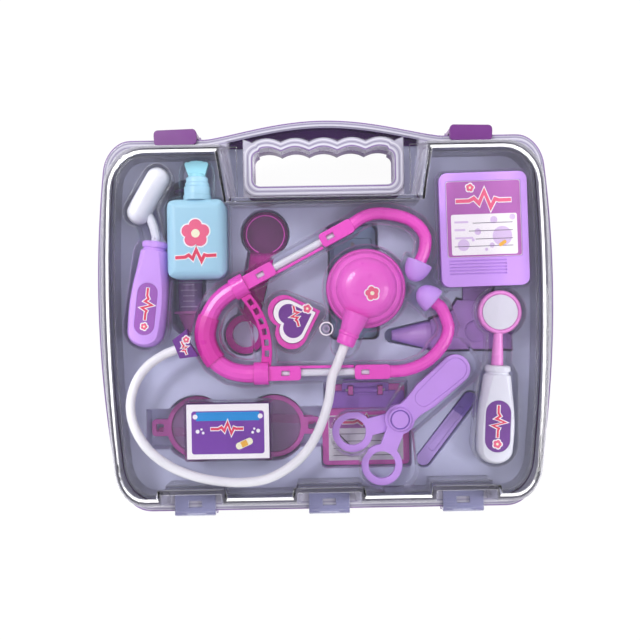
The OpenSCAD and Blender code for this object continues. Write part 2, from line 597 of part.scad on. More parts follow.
// Bottle with its collar rings and fan stopper; its axis lies along +Y
bottle_z = upper_floor + bottle_t / 2;
module bottle_body() color([0.68, 0.84, 0.93]) at(bottle_p) {
  intersection() {
    translate([0, 0, upper_floor]) linear_extrude(bottle_t) rrect(bottle_w, bottle_h, 7);
    translate([-bottle_w / 2, 0, bottle_z]) rotate([90, 0, 90]) linear_extrude(bottle_w) rrect(bottle_h, bottle_t, 6);
    translate([0, -bottle_h / 2, bottle_z]) rotate([-90, 0, 0]) linear_extrude(bottle_h) rrect(bottle_w, bottle_t, 6);
  }
  translate([0, bottle_h / 2 - 0.5, bottle_z]) turned([[0, 0], [neck_r, 0], [neck_r, 3], [neck_r - 0.5, 3.4],
    [neck_r - 0.5, 8.4], [0, 8.4]]);
}
module bottle_collar() color([0.6, 0.8, 0.92]) at(bottle_p, bottle_z) translate([0, bottle_h / 2 + 7.9, 0])
  turned([[0, 0], [neck_r - 1.2, 0], [neck_r - 1.2, 2.4], [neck_r - 1.8, 2.6], [neck_r - 1.8, 5.4],
    [neck_r - 2.4, 6], [0, 6]]);
module bottle_stopper() color([0.65, 0.85, 0.95]) at(bottle_p, bottle_z) translate([0, bottle_h / 2 + 13.9, 0]) {
  linear_extrude(4.6, center = true) polygon(concat([[-4.8, 0], [4.8, 0]],
    [for (i = [0:12]) let (x = 7.4 - i * 14.8 / 12) [x, 8.6 + 1.6 * cos(12 * x) + 0.5 * cos(120 * x)]]));
  turned([[0, 0], [5.6, 0], [5, 2], [0, 2]]);
}

// Record card in its frame, with the sheet let in and rib lines below
card_floor = upper_z - 8;
module card_frame() color([0.8, 0.65, 0.98]) at(card_p, card_floor, card_a) difference() {
  linear_extrude(card_t) rrect(card_w, card_h, 5);
  translate([0, 6.4, card_t - 0.8]) linear_extrude(2) rrect(card_w - 8, card_h - 23, 1.5);
  for (k = [0:4]) translate([-card_w / 2 + 5, -card_h / 2 + 7.4 + 2 * k, card_t - 0.5]) cube([card_w - 19, 0.7, 2]);
}
module card_sheet() color([0.97, 0.95, 0.98]) at(card_p, card_floor + card_t - 0.8, card_a) translate([0, 6.4, 0])
  linear_extrude(0.7) rrect(card_w - 8.4, card_h - 23.4, 1.3);

// Dental mirror
module mirror_handle() color([0.96, 0.96, 0.97]) at(mirror_p, 0, mirror_a) difference() {
  grip(mirror_l, 12, 7.4, grip_t);
  translate([0, 24, upper_floor + grip_t - 0.5]) linear_extrude(2) rrect(15.5, 32, 7.7);
}
mirror_c = [mirror_l + 35, 0];
module mirror_frame() color([0.92, 0.6, 0.85]) at(mirror_p, 0, mirror_a) {
  translate([0, mirror_l + 33, upper_floor + 4]) difference() {
    rotate_extrude() polygon([[0, 0], [mirror_r - 1, 0], [mirror_r, 1], [mirror_r, 5], [mirror_r - 0.8, 6],
      [mirror_r - 2, 6], [mirror_r - 2.6, 5], [0, 5]]);
  }
  translate([0, mirror_l, grip_z - 1]) turned([[0, 0], [3.8, 0], [3.5, 8], [3.1, 14], [2.8, 33 - mirror_r + 1], [0, 33 - mirror_r + 1]]);
}
module mirror_disc() color([0.93, 0.93, 0.98]) at(mirror_p, upper_floor + 9, mirror_a) translate([0, mirror_l + 33, 0])
  cylinder(r = mirror_r - 2.7, h = 0.8);

// Scissor half: paddle blade, boss, arm and finger ring
blade_l = 56;
ring_d = 30.5;
ring_a = 26.5;
function ring_c(s) = ring_d * [-cos(ring_a), s * sin(ring_a)];
module half2d(s) difference() {
  union() {
    circle(9.4);
    polygon([[0, -7], [12, -6.8], [22, -8.8], [blade_l - 9.3, -9.3], [blade_l - 9.3, 9.3], [22, 8.8], [12, 6.8], [0, 7]]);
    translate([blade_l - 9.3, 0]) circle(9.3);
    bar2d([0, 0], ring_c(s), 5.5, 5.5);
    translate(ring_c(s)) circle(ring_r);
  }
  circle(3.1);
  translate(ring_c(s)) circle(ring_r - ring_band);
}
module scissor_blade_a() color([0.78, 0.6, 0.98]) at(pivot_p, upper_floor, blade_a) linear_extrude(blade_t) half2d(1);
module scissor_blade_b() color([0.8, 0.63, 0.99]) at(pivot_p, upper_floor + blade_t + 0.1, blade_a) difference() {
  linear_extrude(blade_t) half2d(-1);
  translate([0, 0, blade_t - 0.6]) linear_extrude(2) bar2d([20, 0], [blade_l - 9.3, 0], 5.4, 7.2);
}
module scissor_pivot() color([0.75, 0.55, 0.95]) at(pivot_p, upper_floor) {
  difference() {
    rotate_extrude() polygon([[0, 0], [3.04, 0], [3.04, 2 * blade_t + 0.2], [7.6, 2 * blade_t + 0.2], [7.6, 2 * blade_t + 1.2],
      [6.8, 2 * blade_t + 2], [0, 2 * blade_t + 2.2]]);
    translate([0, 0, 2 * blade_t + 1.3]) rotate_extrude() translate([5.3, 0]) square([0.8, 2]);
  }
}
module bandage_box() color([0.95, 0.95, 0.95]) at(plaster_p, upper_floor) {
  linear_extrude(plaster_t) square([plaster_w, plaster_h], center = true);
}

// Heart gauge
module heart2d(s, g = 0) rotate(45) {
  translate([-g, -g]) square([s + 2 * g - g, s + 2 * g - g]);
  translate([s / 2, s]) circle(s / 2 + g);
  translate([s, s / 2]) circle(s / 2 + g);
}
module gauge_body() color([0.9, 0.3, 0.7]) at(heart_p, upper_floor, heart_a) difference() {
  linear_extrude(gauge_t) heart2d(heart_s);
  translate([0, 2.6, gauge_t - 1]) linear_extrude(2) heart2d(heart_s - 3.4);
}
module gauge_face() color([0.43, 0.16, 0.5]) at(heart_p, upper_floor + gauge_t - 1, heart_a)
  translate([0, 2.9, 0]) linear_extrude(0.9) heart2d(heart_s - 3.8);

// Lower layer
glass_floor = lower_z - 13;
module glasses_frame() color([0.8, 0.3, 0.65]) translate([0, 0, glass_floor + 3]) difference() {
  linear_extrude(4) {
    for (p = [glass_p, glass_q]) translate(p) circle(rim_r);
    bar2d(glass_p, glass_q, 3, 3);
    translate([glass_p.x - rim_r - 3.5, glass_p.y]) rrect(12, 11, 2.5);
    translate([glass_q.x + rim_r + 3.5, glass_q.y]) rrect(12, 11, 2.5);
  }
  translate([0, 0, -1]) linear_extrude(6) {
    for (p = [glass_p, glass_q]) translate(p) circle(rim_r - rim_w);
    translate([glass_p.x - rim_r - 4.5, glass_p.y]) rrect(5, 5, 1);
    translate([glass_q.x + rim_r + 4.5, glass_q.y]) rrect(5, 5, 1);
  }
}
module glasses_lenses() color([0.9, 0.7, 0.85]) for (p = [glass_p, glass_q]) at(p, glass_floor + 4.4)
  cylinder(r = rim_r - rim_w - 0.05, h = 1.6);
module temple(p, s, o) {
  translate([0, 0, glass_floor]) linear_extrude(3)
    bar2d([p.x + s * (rim_r + 4), p.y + o], [p.x - s * (rim_r + 22), p.y + 2.2 * o], 2.8, 2.4);
}
module temple_left() color([0.75, 0.3, 0.6]) temple(glass_p, -1, -3);
module temple_right() color([0.75, 0.3, 0.6]) temple(glass_q, 1, 3);

board_floor = lower_z - 9;
board_t = 3;
module board() color([0.9, 0.45, 0.75]) at(board_p, board_floor) {
  linear_extrude(board_t) difference() {
    union() { rrect(board_w, board_h, 3); translate([0, board_h / 2 + 6]) rrect(board_w - 5, 16, 2); }
    translate([0, board_h / 2 + 17]) circle(5);
  }
  for (s = [-1, 1]) translate([s * 9.5, board_h / 2 + 10.5, board_t]) difference() {
      translate([-1.5, -2.6, 0]) cube([3, 5.2, 4.2]);
      translate([-2, 0, 2.4]) rotate([0, 90, 0]) cylinder(r = 0.85, h = 4);
    }
}
module clip_pin() color("silver") at(board_p, board_floor + board_t + 2.4) translate([-12.5, board_h / 2 + 10.5, 0])
  rotate([0, 90, 0]) cylinder(r = 0.8, h = 25);
module board_clip() color([0.5, 0.25, 0.6]) at(board_p, board_floor + board_t) difference() {
  union() {
    translate([0, board_h / 2 + 4.5, 0.6]) linear_extrude(1.4) rrect(board_w - 6, 11, 2);
    translate([0, board_h / 2 + 12.5, 1.2]) linear_extrude(1.4) rrect(30, 10, 2);
    translate([-7.6, board_h / 2 + 10.5, 2.4]) rotate([0, 90, 0]) cylinder(r = 2, h = 15.2);
  }
  translate([-20, board_h / 2 + 10.5, 2.4]) rotate([0, 90, 0]) cylinder(r = 0.86, h = 40);
  for (s = [-1, 1]) translate([s * 9.5 - 1.8, board_h / 2 + 7, 0]) cube([3.6, 6.6, 6]);
}
module chart_sheet() color([0.96, 0.96, 0.97]) at(board_p, board_floor + board_t) translate([0, -1.5, 0])
  linear_extrude(0.4) square([board_w - 8, board_h - 9], center = true);

thermo_floor = lower_z - 8;
module thermometer() color([0.62, 0.47, 0.78]) difference() {
  v = thermo_q - thermo_p;
  l = norm(v);
  translate([0, 0, thermo_floor]) linear_extrude(6) bar2d(thermo_p, thermo_q, 4.4, 4);
  at(thermo_p, thermo_floor + 5.4, atan2(v.y, v.x)) translate([l / 2, 0, 0]) linear_extrude(2) rrect(l - 14, 4.4, 2);
}

// Otoscope: head, window ring and handle under the card; the cone shows beside the scissors
oto_floor = lower_z - 17;
module otoscope_body() color([0.6, 0.4, 0.75]) translate([0, 0, oto_floor]) difference() {
  union() {
    linear_extrude(15) polygon([[67, -18.5], [117, -18.5], [116, -6], [110, 2], [103, 13], [84, 13], [80, 6], [67, 1]]);
    translate([0, 0, 1]) linear_extrude(13) bar2d([97, 10], [100, 70], 9.2, 9.2);
  }
  translate([96, -7, 13.4]) cylinder(r = 7, h = 3);
  translate([0, 0, 13.4]) linear_extrude(2) bar2d([98, 30], [99.5, 60], 4, 4);
}
module otoscope_speculum() color([0.68, 0.5, 0.82]) translate([66.9, -8.8, oto_floor + 9.2]) rotate([0, -90, 0])
  rotate_extrude() polygon([[0, 0], [9, 0], [9, 3], [3.2, 24.5], [1.8, 24.5], [1.8, 22], [0, 22]]);

loupe_floor = lower_z - 9;
module loupe_frame() color([0.8, 0.2, 0.6]) translate([0, 0, loupe_floor]) difference() {
  linear_extrude(5) difference() {
    union() {
      translate(loupe_p) circle(14.5);
      bar2d(loupe_p + [-1.6, -9], loupe_q + [4, 12], 8, 5.4);
      translate(loupe_q) circle(12.6);
    }
    translate(loupe_p) circle(12);
    translate(loupe_q) circle(8.4);
  }
  translate([0, 0, 3.6]) linear_extrude(2) bar2d(loupe_p + [-5, -22], loupe_q + [6, 20], 3.4, 3);
}
module loupe_lens() color([0.8, 0.85, 0.95]) at(loupe_p, loupe_floor + 1.4) cylinder(r = 11.95, h = 2);

// Syringe along Y: nozzle to the hinge side, plunger to the handle side
syringe_z = lower_floor + 10.7;
syringe_l = 50;
module syringe_barrel() color([0.66, 0.6, 0.8]) translate([syringe_x, syringe_y, syringe_z]) {
  turned([[barrel_tool_r - syringe_wall, 0], [barrel_tool_r, 0], [barrel_tool_r, syringe_l], [barrel_tool_r + 0.01, syringe_l],
    [10.6, syringe_l], [10.6, syringe_l + 2], [barrel_tool_r - syringe_wall, syringe_l + 2]]);
}
module syringe_nozzle() color([0.5, 0.25, 0.65]) translate([syringe_x, syringe_y, syringe_z])
  rotate([90, 0, 0]) rotate_extrude() polygon([[2, 0], [10.6, 0], [10.6, 1.6], [barrel_tool_r, 2], [barrel_tool_r - 1, 5],
    [4.6, 11], [4.4, 13.5], [2, 13.5]]);
module syringe_plunger() color([0.55, 0.3, 0.68]) translate([syringe_x, syringe_y + plunge + 4, syringe_z])
  turned([[0, 0], [barrel_tool_r - syringe_wall - 0.06, 0], [barrel_tool_r - syringe_wall - 0.06, 5], [3.4, 6],
    [3.4, syringe_l + 4], [9.4, syringe_l + 4.6], [9.4, syringe_l + 6.6], [0, syringe_l + 6.6]]);

sound_top = lower_floor + sound_t;
module sound_box() color([0.62, 0.74, 0.88]) at(sound_p, lower_floor) difference() {
  linear_extrude(sound_t) rrect(sound_w, sound_l, 4);
  translate([0, 12, sound_t - 8]) linear_extrude(10) rrect(sound_w - 8, 30, 1.5);
  translate([0, 12, sound_t - 1.6]) linear_extrude(10) rrect(sound_w - 5, 33, 2);
  for (k = [0:3]) translate([-8, -sound_l / 2 + 6 + 3 * k, sound_t - 1]) cube([16, 1.2, 2]);
}
module battery_door() color([0.58, 0.7, 0.86]) at(sound_p, sound_top - 1.6) difference() {
  translate([0, 12, 0]) linear_extrude(1.6) rrect(sound_w - 5.4, 32.6, 1.8);
  translate([0, 24.6, -1]) cylinder(r = 1.3, h = 4);
}
module door_screw() color("silver") at(sound_p, sound_top - 1.6) translate([0, 24.6, 0]) difference() {
  cylinder(r = 1.25, h = 1.5);
  translate([-1, -0.2, 1.1]) cube([2, 0.4, 1]);
  translate([-0.2, -1, 1.1]) cube([0.4, 2, 1]);
}

// Pockets of the clear tray: their outlines, grown by g, and the height of each floor
module arms2d(g) {
  n = len(yoke_pts);
  for (i = [0:n - 2]) bar2d(yoke_pts[i], yoke_pts[i + 1], yoke_r + 1.4 + g, yoke_r + 1.4 + g);
  for (c = [[clamp_u, arm_a], [clamp_l, 0]]) at(c[0], 0, c[1]) translate([arm_l / 2, 0])
      square([arm_l + 26, 10 + 2 * g], center = true);
  for (P = [ear_u_pts, ear_l_pts], i = [0:len(P) - 2]) bar2d(P[i], P[i + 1], ear_r + 0.8 + g, ear_r + 0.8 + g);
  for (c = [[tip_u, tip_u_a], [tip_l_p, tip_l_a]]) at(c[0], 0, c[1]) translate([0, tip_l / 2])
      square([2 * tip_r + 1.6 + 2 * g, tip_l + 2 + 2 * g], center = true);
  translate(chest_p) circle(chest_r + 0.4 + g);
  bar2d(chest_p, chest_end, 8.4 + g, 7 + g);
  for (k = [0, 1]) bar2d(bridge[k], bridge[k + 1], 5.4 + g, 5.4 + g);
}
module heart_pocket2d(g) translate(heart_p) rotate(heart_a) {
  bar2d([0, 2], [-8, 21], 4 + g, 10.4 + g);
  bar2d([0, 2], [8, 21], 4 + g, 10.4 + g);
  bar2d([-7, 21], [7, 21], 10 + g, 10 + g);
}
module scissors2d(g) {
  for (s = [0, 5, 10, 15]) translate(pivot_p) rotate(blade_a + s) {
      bar2d([0, 0], [blade_l - 6, 0], 9.6 + g, 10.4 + g);
      bar2d([0, 0], ring_c(-1), 6 + g, ring_r + g);
    }
  bar2d(pivot_p, pivot_p + [(blade_l - 6) * cos(blade_a + 8), (blade_l - 6) * sin(blade_a + 8)], 9.6 + g, 12 + g);
  translate(pivot_p) rotate(blade_a) bar2d([0, 0], ring_c(1), 6 + g, ring_r + g);
}
module upper_pocket(i, g) {
  if (i == 0) {
    translate(hammer_p) rotate(hammer_a) bar2d([0, hammer_r], [0, hammer_l - 8], hammer_r + g, 10.4 + g);
    bar2d(head_p, head_q, 7.5 + g, 7.5 + g);
    bar2d([-105.4, 51], [-110.5, 71], 6 + g, 6 + g);
  }
  if (i == 1) translate(bottle_p) {
      rrect(bottle_w + 2 * g, bottle_h + 2 * g, 7);
      bar2d([0, bottle_h / 2], [0, bottle_h / 2 + 16], neck_r + g, neck_r + 0.4 + g);
    }
  if (i == 2) {
    arms2d(g);
    heart_pocket2d(g);
    scissors2d(g);
  }
  if (i == 3) translate(card_p) rotate(card_a) rrect(card_w + 2 * g, card_h + 2 * g, 5);
  if (i == 4) translate(mirror_p) rotate(mirror_a) {
      bar2d([0, 12.4], [0, mirror_l - 8], 12.4 + g, 10.8 + g);
      bar2d([0, mirror_l - 8], [0, mirror_l + 33], 6 + g, 6 + g);
      translate([0, mirror_l + 33]) circle(mirror_r + 0.6 + g);
    }
  if (i == 5) translate(plaster_p) rrect(plaster_w + 2 * g, plaster_h + 2 * g, 2);
}

module lower_pocket(i, g) {
  if (i == 0) {
    translate(loupe_p) circle(14.9 + g);
    bar2d(loupe_p, loupe_q, 8.4 + g, 6 + g);
    translate(loupe_q) circle(13 + g);
  }
  if (i == 1) bar2d([syringe_x, syringe_y - 4], [syringe_x, syringe_y + syringe_l + plunge + 4], 11 + g, 11 + g);
  if (i == 2) {
    for (p = [glass_p, glass_q]) translate(p) circle(rim_r + 0.4 + g);
    translate((glass_p + glass_q) / 2) square([111 + 2 * g, 24 + 2 * g], center = true);
  }
  if (i == 3) translate(board_p) {
      rrect(board_w + 2 * g, board_h + 2 * g, 3);
      translate([0, board_h / 2 + 7]) rrect(board_w - 4 + 2 * g, 22 + 2 * g, 3);
    }
  if (i == 4) bar2d(thermo_p, thermo_q, 4.6 + g, 4.6 + g);
  if (i == 5) {
    polygon([[66 - g, -19 - g], [118 + g, -19 - g], [117 + g, -5], [111 + g, 8], [84 - g, 15], [79 - g, 7], [66 - g, 1.5 + g]]);
    bar2d([42, -8.8], [68, -8.8], 4 + g, 9.4 + g);
    bar2d([97, 4], [100, 70], 9.6 + g, 9.6 + g);
  }
  if (i == 6) translate(sound_p) rrect(sound_w + 0.4 + 2 * g, sound_l + 0.4 + 2 * g, 4);
}
lower_floors = [loupe_floor, lower_floor, glass_floor, board_floor, thermo_floor, oto_floor, lower_floor];

tray_inset = 7 + wall - 0.5 + tray_gap;
module tray2d(more) polygon(outline(tray_inset + more, 26, 28, 0, 1, 3.2 + more));
// The lavender deck reaches out to the rim walls, and stops short of the handle's lip
module lower_deck2d() difference() {
  polygon(outline(wall + 0.2 + tray_gap, top_r, low_r, 0, 0, 0));
  hand2d(lip + tray_gap);
  translate([-hand_w / 2 - lip - tray_gap, hand_y]) square([hand_w + 2 * (lip + tray_gap), half_h]);
}
// Each sheet: deck and pocket skins together, less the hollow of every pocket over its own floor
module lower_tray() color([0.68, 0.69, 0.82]) difference() {
  union() {
    translate([0, 0, ledge_z]) linear_extrude(sheet) lower_deck2d();
    for (i = [0:6]) translate([0, 0, lower_floors[i] - sheet])
        linear_extrude(lower_z + sheet - lower_floors[i]) lower_pocket(i, pocket_gap + sheet);
  }
  for (i = [0:6]) translate([0, 0, lower_floors[i]]) linear_extrude(60) lower_pocket(i, pocket_gap);
}
module deep_pockets2d(g) for (i = [0, 1, 2, 4, 5]) upper_pocket(i, g);
module upper_tray() color([0.85, 0.86, 0.95]) {
  difference() {
    union() {
      translate([0, 0, upper_z - sheet]) linear_extrude(sheet) tray2d(0.2);
      translate([0, 0, upper_floor - sheet]) linear_extrude(upper_deep + sheet) deep_pockets2d(pocket_gap + sheet);
      translate([0, 0, card_floor - sheet]) linear_extrude(upper_z + sheet - card_floor) upper_pocket(3, pocket_gap + sheet);
      translate([0, 0, lower_z]) linear_extrude(upper_z - lower_z) difference() { tray2d(0.2); tray2d(0.2 + sheet); }
    }
    translate([0, 0, upper_floor]) linear_extrude(60) deep_pockets2d(pocket_gap);
    translate([0, 0, card_floor]) linear_extrude(60) upper_pocket(3, pocket_gap);
  }
  // Snap button
  translate([0, -3.5, upper_z - 0.2]) rotate_extrude() polygon([[0, 0], [4.7, 0], [4.7, 1.2], [4, 2], [0, 2]]);
}

base_shell();
lid_shell();
lid_grip();
hinge_clips();
latch_left();
latch_right();
lower_tray();
upper_tray();
yoke();
yoke_sleeve();
clamp_upper();
clamp_lower();
spring_bridge();
rod_upper();
rod_lower();
ear_tube_upper();
ear_tube_lower();
ear_tip_upper();
ear_tip_lower();
tube_tag();
hose();
chest_dome();
chest_collar();
diaphragm();
hammer_handle();
hammer_head();
bottle_body();
bottle_collar();
bottle_stopper();
card_frame();
card_sheet();
mirror_handle();
mirror_frame();
mirror_disc();
scissor_blade_a();
scissor_blade_b();
scissor_pivot();
bandage_box();
gauge_body();
gauge_face();
glasses_frame();
glasses_lenses();
temple_left();
temple_right();
board();
board_clip();
clip_pin();
chart_sheet();
thermometer();
otoscope_body();
otoscope_speculum();
loupe_frame();
loupe_lens();
syringe_barrel();
syringe_plunger();
syringe_nozzle();
sound_box();
battery_door();
door_screw();
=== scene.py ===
import json
import math

import bpy
import numpy as np
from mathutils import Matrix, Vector


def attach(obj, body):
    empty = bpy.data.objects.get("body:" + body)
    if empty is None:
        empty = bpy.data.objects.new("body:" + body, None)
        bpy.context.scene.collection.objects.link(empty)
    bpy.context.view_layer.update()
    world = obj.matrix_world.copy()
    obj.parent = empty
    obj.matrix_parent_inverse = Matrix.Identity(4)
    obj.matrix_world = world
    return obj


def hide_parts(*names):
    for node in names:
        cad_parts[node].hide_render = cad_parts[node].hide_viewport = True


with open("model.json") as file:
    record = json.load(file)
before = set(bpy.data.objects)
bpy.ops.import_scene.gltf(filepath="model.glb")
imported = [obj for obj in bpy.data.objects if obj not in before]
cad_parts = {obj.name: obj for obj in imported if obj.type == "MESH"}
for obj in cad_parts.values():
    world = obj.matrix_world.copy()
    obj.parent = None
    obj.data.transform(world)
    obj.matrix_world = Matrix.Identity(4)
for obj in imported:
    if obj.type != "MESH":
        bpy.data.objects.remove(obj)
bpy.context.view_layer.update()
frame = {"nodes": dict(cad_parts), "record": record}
nodes = frame["nodes"]
print("frame loaded:", len(nodes), "nodes")

mm = 0.001

# The camera looks straight down on the case from half a metre, as in the photograph
cameraValues = {"height": 0.498, "aside": -0.0038, "up": 0.0019, "lens": 41.7, "turn": -1.0}
cameraData = bpy.data.cameras.new("photoCamera")
cameraData.lens = cameraValues["lens"]
cameraData.clip_start, cameraData.clip_end = 0.01, 20
cameraObject = bpy.data.objects.new("photoCamera", cameraData)
cameraObject.location = (cameraValues["aside"], cameraValues["up"], cameraValues["height"])
cameraObject.rotation_euler = (0, 0, math.radians(cameraValues["turn"]))
bpy.context.scene.collection.objects.link(cameraObject)
bpy.context.scene.camera = cameraObject


def tone(red, green, blue):
    # a screen colour, 0 to 255, as linear light
    return tuple(((c / 255) / 12.92 if c < 10.3 else ((c / 255 + 0.055) / 1.055) ** 2.4)
                 for c in (red, green, blue)) + (1.0,)


class Wire:
    # a socket in a material, with arithmetic: every operator adds its node

    def __init__(self, shop, socket):
        self.shop, self.socket = shop, socket

    def sum(self, other, operation, swapped=False):
        pair = [other, self] if swapped else [self, other]
        return self.shop.node("ShaderNodeMath", {"operation": operation}, pair)

    def alone(self, operation):
        return self.shop.node("ShaderNodeMath", {"operation": operation}, [self])

    def __add__(self, other):
        return self.sum(other, "ADD")

    def __radd__(self, other):
        return self.sum(other, "ADD", True)

    def __sub__(self, other):
        return self.sum(other, "SUBTRACT")

    def __rsub__(self, other):
        return self.sum(other, "SUBTRACT", True)

    def __mul__(self, other):
        return self.sum(other, "MULTIPLY")

    def __rmul__(self, other):
        return self.sum(other, "MULTIPLY", True)

    def __pow__(self, other):
        return self.sum(other, "POWER")

    def most(self, other):
        return self.sum(other, "MAXIMUM")

    def least(self, other):
        return self.sum(other, "MINIMUM")

    def away(self):
        return self.alone("ABSOLUTE")

    def cosine(self):
        return self.alone("COSINE")

    def between(self, low, high, first=0.0, last=1.0):
        return self.shop.node("ShaderNodeMapRange", {"interpolation_type": "SMOOTHSTEP", "clamp": True},
                              [self, low, high, first, last])


class Shop:
    # builds the nodes of one material, or of the world

    def __init__(self, owner):
        self.owner = owner
        owner.use_nodes = True
        self.tree = owner.node_tree
        self.tree.nodes.clear()

    def node(self, kind, settings=None, inputs=(), output=0):
        made = self.tree.nodes.new(kind)
        for key, value in (settings or {}).items():
            setattr(made, key, value)
        pairs = inputs.items() if isinstance(inputs, dict) else enumerate(inputs)
        for key, value in pairs:
            if isinstance(value, Wire):
                self.tree.links.new(value.socket, made.inputs[key])
            else:
                made.inputs[key].default_value = value
        return Wire(self, made.outputs[output]) if len(made.outputs) else made

    def mixColour(self, factor, first, second):
        return self.node("ShaderNodeMix", {"data_type": "RGBA", "clamp_factor": True},
                         {0: factor, 6: first, 7: second}, 2)

    def place(self):
        return self.node("ShaderNodeTexCoord", output="Object")

    def spot(self):
        # the three coordinates of the point in millimetres
        split = self.node("ShaderNodeSeparateXYZ", {}, [self.place()])
        made = split.socket.node
        return [Wire(self, made.outputs[k]) * 1000 for k in range(3)]

    def noise(self, scale, detail):
        return self.node("ShaderNodeTexNoise", {}, {"Vector": self.place(), "Scale": scale, "Detail": detail,
                                                    "Roughness": 0.5})

    def finish(self, shader):
        self.node("ShaderNodeOutputMaterial", {}, {"Surface": shader})
        return self.owner


def shade(colour, amount):
    return tuple(min(1.0, c * amount) for c in colour[:3]) + (1.0,)


# How moulded plastic drifts in colour and gloss
plasticValues = {"driftScale": 38, "cloudScale": 160, "fineScale": 2600, "cloudShare": 0.35,
                 "glossDrift": 0.16, "bumpDeep": 0.0004}


def plastic(name, colour, rough=0.3, round=0.5, grain=0.06, mottle=0.10, coat=0.0, alpha=None,
            second=None, where=None):
    # Moulded plastic: colour drifts slowly over the piece, gloss varies, edges shade as if rounded
    shop, v = Shop(bpy.data.materials.new(name)), plasticValues
    drift = shop.noise(v["driftScale"], 3)
    cloud = shop.noise(v["cloudScale"], 2)
    fine = shop.noise(v["fineScale"], 1)
    darker, lighter, lightest = (shade(colour, 1 + change * mottle) for change in (-1, 0.5, 1))
    mixed = shop.mixColour(drift.between(0.3, 0.7), darker, lighter)
    mixed = shop.mixColour(cloud.between(0.35, 0.75) * v["cloudShare"], mixed, lightest)
    if second:
        mixed = shop.mixColour(where(*shop.spot()), mixed, second)
    edge = shop.node("ShaderNodeBevel", {"samples": 4}, {"Radius": round * mm})
    height = fine * 0.35 + cloud * 0.65
    bump = shop.node("ShaderNodeBump", {}, {"Strength": grain, "Distance": v["bumpDeep"], "Height": height,
                                            "Normal": edge})
    gloss = cloud * v["glossDrift"] + (rough - v["glossDrift"] / 2)
    body = shop.node("ShaderNodeBsdfPrincipled", {}, {"Base Color": mixed, "Roughness": gloss, "Normal": bump,
                     "IOR": 1.5, "Coat Weight": coat, "Coat Roughness": 0.08})
    if alpha is not None:
        clear = shop.node("ShaderNodeBsdfTransparent", {}, [shade(colour, 1.0)])
        body = shop.node("ShaderNodeMixShader", {}, [alpha, clear, body])
    return shop.finish(body)


def clearPlastic(name, tint, thickTint, cover, edgeCover, round=1.2, gloss=1.0, power=3.0, wave=0.05,
                 frost=0.0, where=None):
    # Clear sheet: hardly there face on, a milky tint where it is seen at a slant, and lamp reflections
    shop = Shop(bpy.data.materials.new(name))
    edge = shop.node("ShaderNodeBevel", {"samples": 4}, {"Radius": round * mm})
    ripple = shop.noise(45, 2)
    bump = shop.node("ShaderNodeBump", {}, {"Strength": wave, "Distance": 0.002, "Height": ripple,
                                            "Normal": edge})
    facing = shop.node("ShaderNodeLayerWeight", {}, {"Blend": 0.5, "Normal": bump}, "Facing")
    slant = facing ** power
    milky = shop.node("ShaderNodeBsdfPrincipled", {}, {"Base Color": shop.mixColour(slant, tint, thickTint),
                      "Roughness": 0.22, "Normal": bump, "IOR": 1.5})
    clear = shop.node("ShaderNodeBsdfTransparent", {}, [(0.993, 0.993, 0.997, 1)])
    amount = slant * edgeCover + cover
    if where:
        amount = amount.most(where(*shop.spot()) * frost)
    sheet = shop.node("ShaderNodeMixShader", {}, [amount, clear, milky])
    mirror = shop.node("ShaderNodeBsdfGlossy", {}, {"Color": (1, 1, 1, 1), "Roughness": 0.06, "Normal": bump})
    fresnel = shop.node("ShaderNodeFresnel", {}, {"IOR": 1.45, "Normal": bump})
    both = shop.node("ShaderNodeMixShader", {}, [fresnel * gloss, sheet, mirror])
    return shop.finish(both)


# The lid's outline and the hand opening in millimetres; a pair is where a band starts and ends to fade
rimValues = {"topRadius": 19, "lowRadius": 28, "halfWide": 141, "halfHigh": 115, "bow": 7.5, "widest": 20,
             "archRise": 10.5, "archHalf": 72, "archPower": 1.2, "handY": 95.3, "handWide": 87,
             "handHigh": 21, "wave": 2.5, "pitch": 17.4, "rimTop": 40.0, "lipTop": 41.5,
             "bandTop": (41.6, 43.2), "notchSide": (57, 61), "notchLow": (74, 78), "edgeWide": (3.4, 4.6),
             "waveLow": (100, 101), "lipWide": (5.4, 6.6)}


def rimZone(x, y, z):
    # the lid's rim band, the lip of the hand opening and the grip's outer edge, but not the grip between
    side, r = x.away(), rimValues
    rim = 1 - z.between(*r["bandTop"])
    notch = (1 - side.between(*r["notchSide"])) * y.between(*r["notchLow"])
    bow = (side.least(r["archHalf"]) * (math.pi / 2 / r["archHalf"])).cosine().most(0)
    arch = (bow ** r["archPower"]) * r["archRise"]
    edge = 1 - (r["halfHigh"] + arch - y).between(*r["edgeWide"])
    wave = (x * (math.pi / r["pitch"])).cosine().away() * r["wave"] * y.between(*r["waveLow"])
    beside = side - r["handWide"] / 2
    above = (y - r["handY"]).away() - r["handHigh"] / 2 - wave
    lip = 1 - beside.most(above).between(*r["lipWide"])
    return rim * (1 - notch).most(edge).most(lip)


